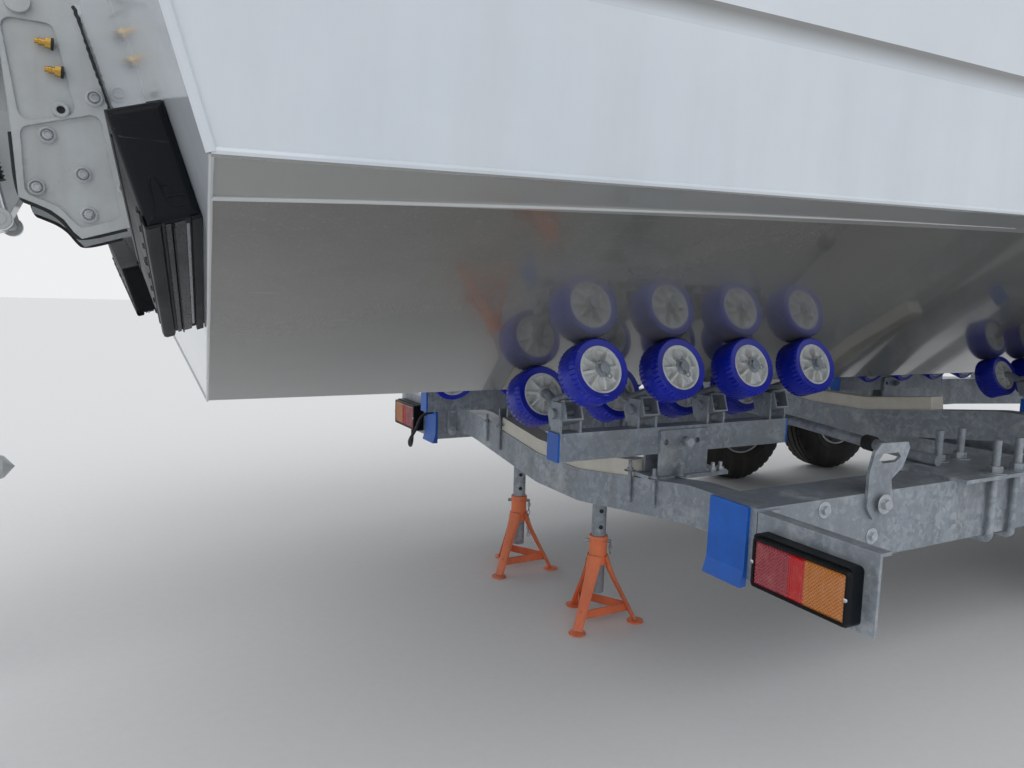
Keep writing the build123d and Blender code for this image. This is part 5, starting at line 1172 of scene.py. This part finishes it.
wheelLook = {
    "halfWidth": 0.0925, "side": 1.075, "height": -0.35, "blocks": 44, "groove": 0.0065, "bead": (0.1785, 0.0725),
    # radius, depth in from the sidewall, share cut everywhere, share cut between blocks
    "tyre": [(180, 20, 0, 0), (186, 13, 0, 0), (196, 6, 0, 0), (212, 2, 0, 0), (215, 0.2, 0, 0), (219, 0.2, 0, 0),
             (222, 2, 0, 0), (245, 0.6, 0, 0), (270, 1.4, 0, 0), (290, 8, 0, 0.3), (308, 18, 0, 1), (320.5, 28, 0, 1),
             (323.5, 40, 0, 1), (323.6, 44, 1, 0), (324, 48, 1, 0), (324.4, 50, 0, 0), (324.7, 66, 0, 0.6),
             (325, 70, 0, 0.6), (325, 72, 1, 0), (325, 76, 1, 0), (325, 78, 0, 0)],
    "nut": [(0, 0), (12.5, 0), (10.5, 4, 1), (10.5, 16, 1), (8.5, 19), (0, 19.5)], "nuts": 5, "nutReach": 0.056,
    "cap": [(0, 0), (31, 0), (31.2, 12), (29, 23), (20, 29), (0, 31)],
    "valve": [(0.128, 0, 0.038), (0.131, 0, 0.052), (0.133, 0, 0.066)],
    "wheels": [("starboard_aft", 2.8, -1), ("port_aft", 2.8, 1), ("starboard_fore", 3.55, -1),
               ("port_fore", 3.55, 1)],
}


def tyreShape():
    # Sidewall and tread turned round the axle; tread rows lose a groove's depth, shoulder rows do so between blocks.
    look = wheelLook
    rows = bothShoulders(look["tyre"], look["halfWidth"])
    count = look["blocks"] * 4
    gap = np.tile([1, 0, 0, 0], look["blocks"])
    stagger = np.repeat([0, 2], len(look["tyre"]))
    between = gap[(np.arange(count) + stagger[:, None]) % count]
    radius = rows[:, :1] - look["groove"] * np.maximum(rows[:, 2:3], rows[:, 3:4] * between)
    bead, inset = look["bead"]
    points = np.concatenate([spun(radius, rows[:, 1:2], fullTurn(count)),
                             spun(bead, np.array([[-inset], [inset]]), fullTurn(count))])
    return makeShape(points, gridFaces(len(points), count, True, True))


def buildWheels():
    # Each wheel's tyre with blocks, its nuts round the hub cap, and its valve.
    look = wheelLook
    tyre, nut, cap = tyreShape(), turnedShape(look["nut"], 24), turnedShape(look["cap"], 36)
    valve = tubeShape(look["valve"], [0.0055, 0.0045, 0.0038], sides=10, up=(0, 1, 0))
    for name, x, side in look["wheels"]:
        place, body = frameAt((x, side * look["side"], look["height"]), (0, side, 0)), "wheel_" + name
        makePiece("tyre_" + name + "_treaded", [placeShape(tyre, place)], "tyre", body, hides=["tyre_" + name],
                  smooth=24)
        nuts = [placeShape(nut, place @ frameAt(heading(turn) * look["nutReach"] + (0, 0, 0.0395)))
                for turn in fullTurn(look["nuts"])]
        nuts.append(placeShape(cap, place @ frameAt((0, 0, 0.0415))))
        makePiece("wheel_nuts_" + name, nuts, "galvanised_steel", body)
        makePiece("valve_" + name, [placeShape(valve, place)], "black_rubber", body)


buildWheels()
print("wheels dressed")


def binsRound(flat, count):
    # For points about a middle: which of count directions each lies in, and how far out.
    angle = np.arctan2(flat[:, 1], flat[:, 0])
    return ((angle + np.pi) / tau * count).astype(int) % count, np.linalg.norm(flat, axis=1)


def cutOutline(nodeName, height, count=140):
    # Where a level plane cuts a CAD piece, the outermost crossing for each of count directions about its middle.
    work = bmesh.new()
    work.from_mesh(nodes[nodeName].data)
    everything = work.verts[:] + work.edges[:] + work.faces[:]
    cut = bmesh.ops.bisect_plane(work, geom=everything, plane_co=(0, 0, keelHeight + height), plane_no=(0, 0, 1))
    edges = [item for item in cut["geom_cut"] if isinstance(item, bmesh.types.BMEdge)]
    ends = np.array([[tuple(vertex.co) for vertex in edge.verts] for edge in edges]) - keelPlace
    work.free()
    share = np.linspace(0, 1, 24)[None, :, None]
    dense = (ends[:, :1] * (1 - share) + ends[:, 1:] * share).reshape(-1, 3)
    middle = (dense.min(axis=0) + dense.max(axis=0)) / 2
    bins, reach = binsRound((dense - middle)[:, :2], count)
    best = np.zeros(count)
    np.maximum.at(best, bins, reach)
    turns = (np.arange(count) + 0.5) / count * tau - np.pi
    best = np.interp(turns, turns[best > 0], best[best > 0], period=tau)
    return middle + spun(best, 0, turns)


cushionLook = {
    "fill": 0.75, "puff": 0.016, "shrink": 0.012, "channelDepth": 0.006, "channelWidth": 0.007, "channelPitch": 0.13,
    "round": 0.22, "piping": 0.0046, "directions": 160, "swellAhead": 0.004, "swellUp": 0.006,
    # axis that the channels stop along, their distance from the pad's ends, and the least share facing that way
    "channelEnds": {"up": (0, 0.05), "ahead": (2, 0.06)}, "leastFacing": 0.3,
    "cloth": {"quality": 4, "mass": 0.3, "tension_stiffness": 12, "compression_stiffness": 12,
              "bending_stiffness": 0.6, "use_pressure": True, "uniform_pressure_force": 4}, "steps": 20,
    # name, low corner, high corner, lean of the top, voxel, way that the padded face looks
    "pads": [
        ("seat_cushion_port", (2.01, 0.33, 0.7203), (2.49, 0.85, 0.83), 0, 0.01, "up"),
        ("seat_cushion_starboard", (2.01, -0.85, 0.7203), (2.49, -0.33, 0.83), 0, 0.01, "up"),
        ("seat_back_port", (2.01, 0.33, 0.8303), (2.12, 0.85, 1.35), -0.05, 0.01, "ahead"),
        ("seat_back_starboard", (2.01, -0.85, 0.8303), (2.12, -0.33, 1.35), -0.05, 0.01, "ahead"),
        ("bench_cushion", (0.54, -0.83, 0.7903), (0.93, 0.83, 0.89), 0, 0.014, "up"),
        ("bench_back", (0.4483, -0.83, 0.7903), (0.538, 0.83, 1.12), 0, 0.014, "ahead"),
    ],
}


def crownedBox(low, high, lean, steps=9):
    # A box whose faces are power curves of two angles (a superellipsoid), leaning by lean at its top.
    middle, half = (low + high) / 2, (high - low) / 2
    tilt = np.linspace(-np.pi / 2, np.pi / 2, 4 * steps)[:, None]
    turn = np.linspace(0, tau, 8 * steps + 1)[None, :-1]
    cosTilt, sinTilt, cosTurn, sinTurn = (np.sign(wave) * np.abs(wave) ** cushionLook["round"] for wave in
                                          (np.cos(tilt), np.sin(tilt), np.cos(turn), np.sin(turn)))
    x, y, z = np.broadcast_arrays(cosTilt * cosTurn, cosTilt * sinTurn, sinTilt)
    points = np.stack([x * half[0] + lean * (z + 1) / 2, y * half[1], z * half[2]], axis=2) + middle
    return makeShape(points, gridFaces(*x.shape, False, True))


def readVectors(rows, key="co"):
    # A mesh's vectors as rows of three numbers.
    values = np.empty(len(rows) * 3)
    rows.foreach_get(key, values)
    return values.reshape(-1, 3)


def applyModifier(thing, kind, **settings):
    # Adds a modifier with its settings and applies it at once.
    bpy.context.view_layer.objects.active = thing
    modifier = thing.modifiers.new(kind, kind)
    for key, value in settings.items():
        setattr(modifier, key, value)
    bpy.ops.object.select_all(action="DESELECT")
    thing.select_set(True)
    bpy.ops.object.modifier_apply(modifier=kind)


def inflateCushion(name, low, high, lean, voxel):
    # The pad starts a little small, is remeshed, swells under cloth pressure, and moves no further than the cap.
    look = cushionLook
    shrink = look["shrink"]
    pad = makePiece(name, [crownedBox(low + (shrink, shrink, 0.002), high - shrink, lean)], "seat_vinyl")
    applyModifier(pad, "REMESH", mode="VOXEL", voxel_size=voxel)
    before = after = readVectors(pad.data.vertices)
    cloth = pad.modifiers.new("Cloth", "CLOTH")
    for key, value in look["cloth"].items():
        setattr(cloth.settings, key, value)
    cloth.settings.effector_weights.gravity = 0
    cloth.collision_settings.use_collision = False
    for step in range(look["steps"]):
        bpy.context.scene.frame_set(step + 1)
    after = readVectors(pad.evaluated_get(bpy.context.evaluated_depsgraph_get()).data.vertices)
    pad.modifiers.remove(cloth)
    bpy.context.scene.frame_set(1)
    move = after - before
    far = np.linalg.norm(move, axis=1, keepdims=True)
    place = before + move * np.minimum(1, look["puff"] / np.maximum(far, 1e-9)) - keelPlace
    place = np.clip(place, low + (min(lean, 0), 0, 0) + 0.0005, high + (look["swellAhead"], 0, look["swellUp"]))
    pad.data.vertices.foreach_set("co", (place + keelPlace).ravel())
    return pad


def sewCushion(pad, low, high, facing):
    # Channels sink the surface by a bell curve of the distance to each seam; piping runs where the pad is widest.
    look = cushionLook
    applyModifier(pad, "SUBSURF", levels=1, render_levels=1)
    mesh = pad.data
    points, normals = readVectors(mesh.vertices) - keelPlace, readVectors(mesh.vertex_normals, "vector")
    seams = np.linspace(low[1], high[1], max(5, int((high[1] - low[1]) / look["channelPitch"]) + 1))[1:-1]
    away = np.min(np.abs(points[:, 1:2] - seams), axis=1)
    steep = normals[:, 2] if facing == "up" else np.abs(normals[:, 0])
    axis, margin = look["channelEnds"][facing]
    along = points[:, axis]
    inside = (along > low[axis] + margin) & (along < high[axis] - margin) & (steep > look["leastFacing"])
    depth = look["channelDepth"] * np.exp(-(away / look["channelWidth"]) ** 2) * inside
    points = points - normals * depth[:, None]
    mesh.vertices.foreach_set("co", (points + keelPlace).ravel())
    mesh.update()
    mesh.shade_smooth()
    # Piping: the outermost points round the pad, one for each direction, evened out over five neighbours.
    flat = [0, 1] if facing == "up" else [1, 2]
    middle = (points.min(axis=0) + points.max(axis=0)) / 2
    bins, reach = binsRound((points - middle)[:, flat], look["directions"])
    order = np.lexsort((reach, bins))
    loop = points[order[np.flatnonzero(np.diff(np.append(bins[order], look["directions"] + 1)))]]
    loop = sum(np.roll(loop, step, axis=0) for step in range(-2, 3)) / 5
    # The seam stays in one plane, which leans with the pad: a straight line through the loop's depth over its height.
    if facing == "up":
        loop[:, 2] = loop[:, 2].mean()
    else:
        loop[:, 0] = np.polyval(np.polyfit(loop[:, 2], loop[:, 0], 1), loop[:, 2])
    return closedTube(loop, look["piping"])


def buildCushions():
    # Each pad is inflated and sewn; all piping is one piece.
    names, piping = [], []
    for name, low, high, lean, voxel, facing in cushionLook["pads"]:
        low, high = np.array(low), np.array(high)
        pad = inflateCushion(name, low, high, lean, voxel)
        piping.append(sewCushion(pad, low, high, facing))
        names.append(pad)
    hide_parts("seat_cushions")
    makePiece("cushion_piping", piping, "seat_vinyl", finish="black_rubber")


buildCushions()
print("cushions sewn")

hullEdgeLook = {
    # keel x, y, z along the inner and the outer chine, the transom's lower edge, and up its corner
    "chine": [(-0.1136, 1.0585, 0.3705), (0.05, 1.0801, 0.3781), (0.3, 1.1087, 0.3881), (0.6, 1.1392, 0.3987),
              (0.9, 1.1649, 0.4077), (1.2, 1.186, 0.4151)],
    "lip": [(-0.1235, 1.1545, 0.4046), (0.05, 1.1728, 0.4075), (0.3, 1.1955, 0.4124), (0.6, 1.2179, 0.4189),
            (0.9, 1.235, 0.4257), (1.3, 1.2506, 0.4347), (1.7, 1.2586, 0.4425), (2.15, 1.26, 0.4486),
            (2.6, 1.2548, 0.4505), (3, 1.2456, 0.4475), (3.35, 1.2349, 0.4405)],
    "edge": [(0, 0, 0), (-0.1136, 1.0585, 0.3705), (-0.1235, 1.1563, 0.4036)],
    "corner": [(-0.1235, 1.1563, 0.4036), (-0.1547, 1.1688, 0.5041), (-0.186, 1.1826, 0.605),
               (-0.1947, 1.192, 0.633), (-0.25, 1.1863, 0.811), (-0.3086, 1.1802, 1.0004)],
    # keel x over which the inner chine's bead thins out, and its radii
    "taper": ([0.1, 1.15], [0.0038, 0.0006]),
}


def buildHullEdges():
    # Thin round beads along the chines, the transom's lower edge and its corner.
    look = hullEdgeLook
    route = alongLine(look["chine"], 80)
    chine = tubeShape(route, np.interp(route[:, 0], *look["taper"]))
    edge = tubeShape(alongLine(look["edge"], 40), 0.0034)
    corner = tubeShape(alongLine(look["corner"], 60), 0.006, sides=10, up=(1, 0, 0))
    lip = tubeShape(alongLine(look["lip"], 80), 0.0056, sides=10)
    makePiece("hull_edge_beads", bothSides([chine, edge]), "white_gelcoat")
    makePiece("hull_corner_lips", bothSides([lip, corner]), "white_gelcoat", finish="hull")


buildHullEdges()
print("hull edges rounded")

engineLook = {
    "seam": 0.9855, "band": 1.118, "slotShades": (1.3, 1.325, 1.35, 1.375, 1.4), "slotWidth": 190, "latch": 1.03,
    "intakes": (-0.56, -0.575, -0.59, -0.605, -0.62), "intakeZ": -0.125, "screws": ((-0.665, -0.135), (-0.64, 0.165)),
    "screw": [(0, 0), (8, 0), (8, 1.8), (6.8, 2.6), (3, 2.6), (2.6, 1.2), (0, 1.2)],
    "pin": [(0, -30), (4.2, -30), (4.2, 30), (0, 30)],
}


def buildEngineDetails():
    # Seal, band, slots shown by their painted shade, and latch of the cowl, and the intakes shown by their painted
    # shade and the screws of the leg.
    look = engineLook
    makePiece("cowl_seal", [closedTube(cutOutline("outboard_cowl", look["seam"]), 0.005)], "black_rubber", "engine")
    makePiece("cowl_band", [closedTube(cutOutline("outboard_cowl", look["band"]), 0.0032, flat=1.6)], "engine_grey",
              "engine")
    # Air slots on the aft face: a dark flat slab, the painted shade of the slot, under a lip with a half round
    # section.
    half = look["slotWidth"] * 0.0005 - 0.004
    lip = tubeShape([(x, 0.0068, 0.0006) for x in (-half, 0, half)], 0.003)
    seats = [seatOn("outboard_cowl", (-2, 0, height), (1, 0, 0), (0, 1, 0)) for height in look["slotShades"]]
    for name, shape, slot in (("cowl_slot_shades", plate(look["slotWidth"], 11, 5.2, -1, 0.8, 0.3, 6), "black_plastic"),
                              ("cowl_slot_lips", lip, "engine_grey")):
        makePiece(name, [placeShape(shape, seat) for seat in seats], slot, "engine")
    # Latch on the aft lower edge: a base, a lever on it, and its pin.
    base = seatOn("outboard_cowl", (-2, 0, look["latch"]), (1, 0, 0), (0, 1, 0))
    lever = put(plate(46, 60, 10, 7, 14, 2), (0, 0.006, 0), (0, 0.1, 1))
    pin = put(turnedShape(look["pin"], 14), (0, -0.018, 0.011), (1, 0, 0), (0, 1, 0))
    makePiece("cowl_latch", [placeShape(shape, base) for shape in (plate(74, 46, 8, -2, 7, 1.5), lever)],
              "black_plastic", "engine")
    makePiece("cowl_latch_pin", [placeShape(pin, base)], "polished_steel", "engine")
    # Cooling intakes: dark slanted slabs on each side of the gearcase, the painted shade of the intake slots, and the
    # drain screws with their slots.
    slotShades = [placeShape(plate(7.5, 40, 3.6, -1, 0.8, 0.3),
                        seatOn("outboard_leg", (x, 1, look["intakeZ"]), (0, -1, 0), (1, 0, 0.35)))
             for x in look["intakes"]]
    screw = put(turnedShape(look["screw"], 20), (0, 0, -0.0003))
    screws = [placeShape(screw, seatOn("outboard_leg", (x, 1, z), (0, -1, 0))) for x, z in look["screws"]]
    makePiece("leg_intake_slot_shades", bothSides(slotShades), "black_plastic", "engine")
    makePiece("leg_screws", bothSides(screws), "polished_steel", "engine")


buildEngineDetails()
print("engine dressed")

consoleLook = {
    "y": -0.59, "dash": ((2.86, 0.93), (3, 1.01)), "dials": (-0.19, 0.19), "screen": (210, 104),
    "bezel": [(37, 0), (43, 0), (43, 7.5), (41, 9.8), (38.5, 9.8), (37, 7)],
    "dial": [(0, 0), (38, 0), (38, 5), (0, 5)],
    # marks from angle to angle, and the needle's angle; a mark's outer end, then lengths and widths of long and short
    "marks": (225, -45, 21), "needle": 205, "markReach": 33, "markSizes": ((8.5, 1.6), (4.5, 0.9)),
    "needleHub": [(0, 5.6), (4, 5.6), (3.6, 8), (0, 8.4)], "switches": 6, "switchSide": -0.274,
    "throttle": (3.06, -0.86),
    "grip": [(0.03, -0.034, 0.166), (0.03, -0.012, 0.171), (0.03, 0.012, 0.171), (0.03, 0.034, 0.166)],
    "lever": [(0, 0, 0.04), (0.012, 0, 0.09), (0.026, 0, 0.15), (0.03, 0, 0.168)],
    "railY": -0.275,
    "rail": [(3.08, 1.012), (3.08, 1.062), (3.11, 1.072), (3.24, 1.074), (3.27, 1.064), (3.27, 1.016)],
    "foot": [(0, 0), (23, 0), (22.5, 3.5), (12.5, 6), (0, 6)],
    # heights of the knee opening, then x and height of the panel's foot, its rise and its lean
    "knee": (0.55, 0.78), "panelLow": (2.819, 0.43, 0.43, 0.06),
}


def onDash(shape, side, up, height=0, zAxis=(0, 0, 1), xAxis=(1, 0, 0)):
    # Puts a shape on the leaning dash: side is counted to starboard from the helm's middle, up along the slope.
    (lowX, lowZ), (highX, highZ) = consoleLook["dash"]
    middle = np.array([(lowX + highX) / 2, consoleLook["y"], (lowZ + highZ) / 2])
    dash = frameAt(middle, (lowZ - highZ, 0, highX - lowX), (0, -1, 0))
    return placeShape(shape, dash @ frameAt((side, up, height), zAxis, xAxis))


def buildConsole():
    # Dash with dials, screen and switches, the throttle, the hand rail and the knee opening's edge.
    look = consoleLook
    width, height = look["screen"]
    black, bezels, dials, marks, needles = [], [], [], [], []
    black.append(onDash(plate(560, 132, 14, -1, 3.5, 1), 0, 0))
    needle = slabShape([(-6, -1.6), (26, -0.4), (26, 0.4), (-6, 1.6)], 5.6, 6.4, 0.1)
    for side in look["dials"]:
        dial = (side, 0.006, 0.0034, (0, 0, 1))
        bezels.append(onDash(turnedShape(look["bezel"], 48, closed=True), *dial))
        dials.append(onDash(turnedShape(look["dial"], 40), *dial))
        # Marks on the dial: bars on a circle over three quarters of a turn, long ones at every fourth.
        for index, turn in enumerate(np.radians(np.linspace(*look["marks"]))):
            length, thick = look["markSizes"][index % 4 > 0]
            middle = (look["markReach"] - length / 2) * 0.001
            bar = put(plate(length, thick, 0.3, 4.8, 5.6, 0.1, 2), (middle, 0, 0))
            marks.append(onDash(bar, *dial, heading(turn)))
        needles.append(onDash(needle, *dial, heading(math.radians(look["needle"]))))
        needles.append(onDash(turnedShape(look["needleHub"], 16), *dial))
    black.append(onDash(plate(width + 22, height + 16, 12, 3, 14, 2), 0, 0.004))
    screen = onDash(plate(width, height - 10, 6, 13.6, 14.6, 0.3), 0, 0.006)
    for index in range(look["switches"]):
        row, column = divmod(index, 2)
        rocker = slabShape([(-8, -13), (8, -13), (8, 13), (-8, 13)], 3, 9.5, 1.2)
        black.append(onDash(rocker, look["switchSide"] + 0.024 * column, 0.036 - 0.034 * row, 0, (0, 0.12, 1)))
    # Throttle: a base on the console's top, the lever and its grip.
    base = seatOn("helm_console", (*look["throttle"], 3), (0, 0, -1))
    grip = tubeShape(look["grip"], [0.01, 0.0145, 0.0145, 0.01], sides=16)
    black += [placeShape(shape, base)
              for shape in (plate(150, 74, 20, -1, 24, 6), plate(96, 52, 18, 22, 52, 10), grip)]
    bezels.append(placeShape(tubeShape(look["lever"], [0.0095, 0.0085, 0.0075, 0.0075], 14, (0, 1, 0), 1.3), base))
    # Hand rail on the console's inboard side of the top, on two feet.
    rail = [(x, look["railY"], z) for x, z in look["rail"]]
    bezels.append(tubeShape(smoothRoute(rail, 40), 0.011, sides=14, up=(0, 1, 0)))
    bezels += [placeShape(turnedShape(look["foot"], 24), seatOn("helm_console", (x, y, 3), (0, 0, -1)))
               for x, y, z in (rail[0], rail[-1])]
    for name, shapes, slot, finish in (("dash_black_parts", black, "black_plastic", None),
                                       ("dash_bright_parts", bezels, "polished_steel", None),
                                       ("dash_dial_faces", dials, "black_plastic", "black_rubber"),
                                       ("dash_dial_marks", marks, "cast_white", "nylon_hub"),
                                       ("dash_needles", needles, "orange_paint", None),
                                       ("dash_screen", [screen], "tinted_glass", "black_plastic")):
        makePiece(name, shapes, slot, finish=finish)
    # The knee opening's edge, on the panel that leans over its height.
    low, high = look["knee"]
    startX, startZ, rise, lean = look["panelLow"]
    outline = roundedOutline(0.52, high - low, 0.004, 3) + (look["y"], (low + high) / 2)
    x = startX + (np.clip(outline[:, 1], low, high) - startZ) / rise * lean
    loop = np.column_stack([x, outline])
    makePiece("knee_opening_edge", [closedTube(alongLine(np.vstack([loop, loop[:1]]), 121)[:-1], 0.0055)],
              "black_rubber")


buildConsole()
print("console dressed")

hatchLook = {
    "hinges": (-0.19, 0.19), "leaves": (("deck", 4.588), ("deck_hatch", 4.643)), "barrelX": 4.612, "latchX": 5.12,
    "screw": [(0, 0), (4, 0), (3.6, 1.2), (1.8, 1.6), (0, 1)], "screwGrid": (-0.011, 0.011),
    "barrel": [(0, -20), (4.8, -20), (5.2, -19), (5.2, 19), (4.8, 20), (0, 20)],
    "rim": [(18, -1), (33, -1), (32.5, 2.2), (30, 3.4), (20, 3), (18, 1.2)],
    "pull": [(0, -1), (17.6, -1), (17.6, 1.6), (9, 2.2), (0, 2.2)],
}


def buildHatchDetails():
    # Hinge leaves with screws and barrels, and the latch on the lid.
    look = hatchLook
    parts = {"deck": [], "deck_hatch": []}
    down = (0, 0, -1)
    screw = turnedShape(look["screw"], 14)
    for y in look["hinges"]:
        for nodeName, x in look["leaves"]:
            seat = seatOn(nodeName, (x, y, 3), down)
            parts[nodeName].append(placeShape(plate(44, 40, 8, -1, 2.8, 0.8), seat))
            parts[nodeName] += [placeShape(screw, seat @ frameAt((dx, dy, 0.0027)))
                                for dx in look["screwGrid"] for dy in look["screwGrid"]]
        height = seatOn("deck", (look["barrelX"] - 0.007, y, 3), down)[2, 3]
        parts["deck"].append(put(turnedShape(look["barrel"], 18), (look["barrelX"], y, height + 0.0036), (0, 1, 0)))
    seat = seatOn("deck_hatch", (look["latchX"], 0, 3), down)
    parts["deck_hatch"] += [placeShape(turnedShape(look["rim"], 40, closed=True), seat),
                            placeShape(turnedShape(look["pull"], 32), seat)]
    makePiece("hatch_hinge_leaves_deck", parts["deck"], "polished_steel")
    makePiece("hatch_hinge_leaves_lid", parts["deck_hatch"], "polished_steel", "deck_hatch")


buildHatchDetails()
print("hatch dressed")
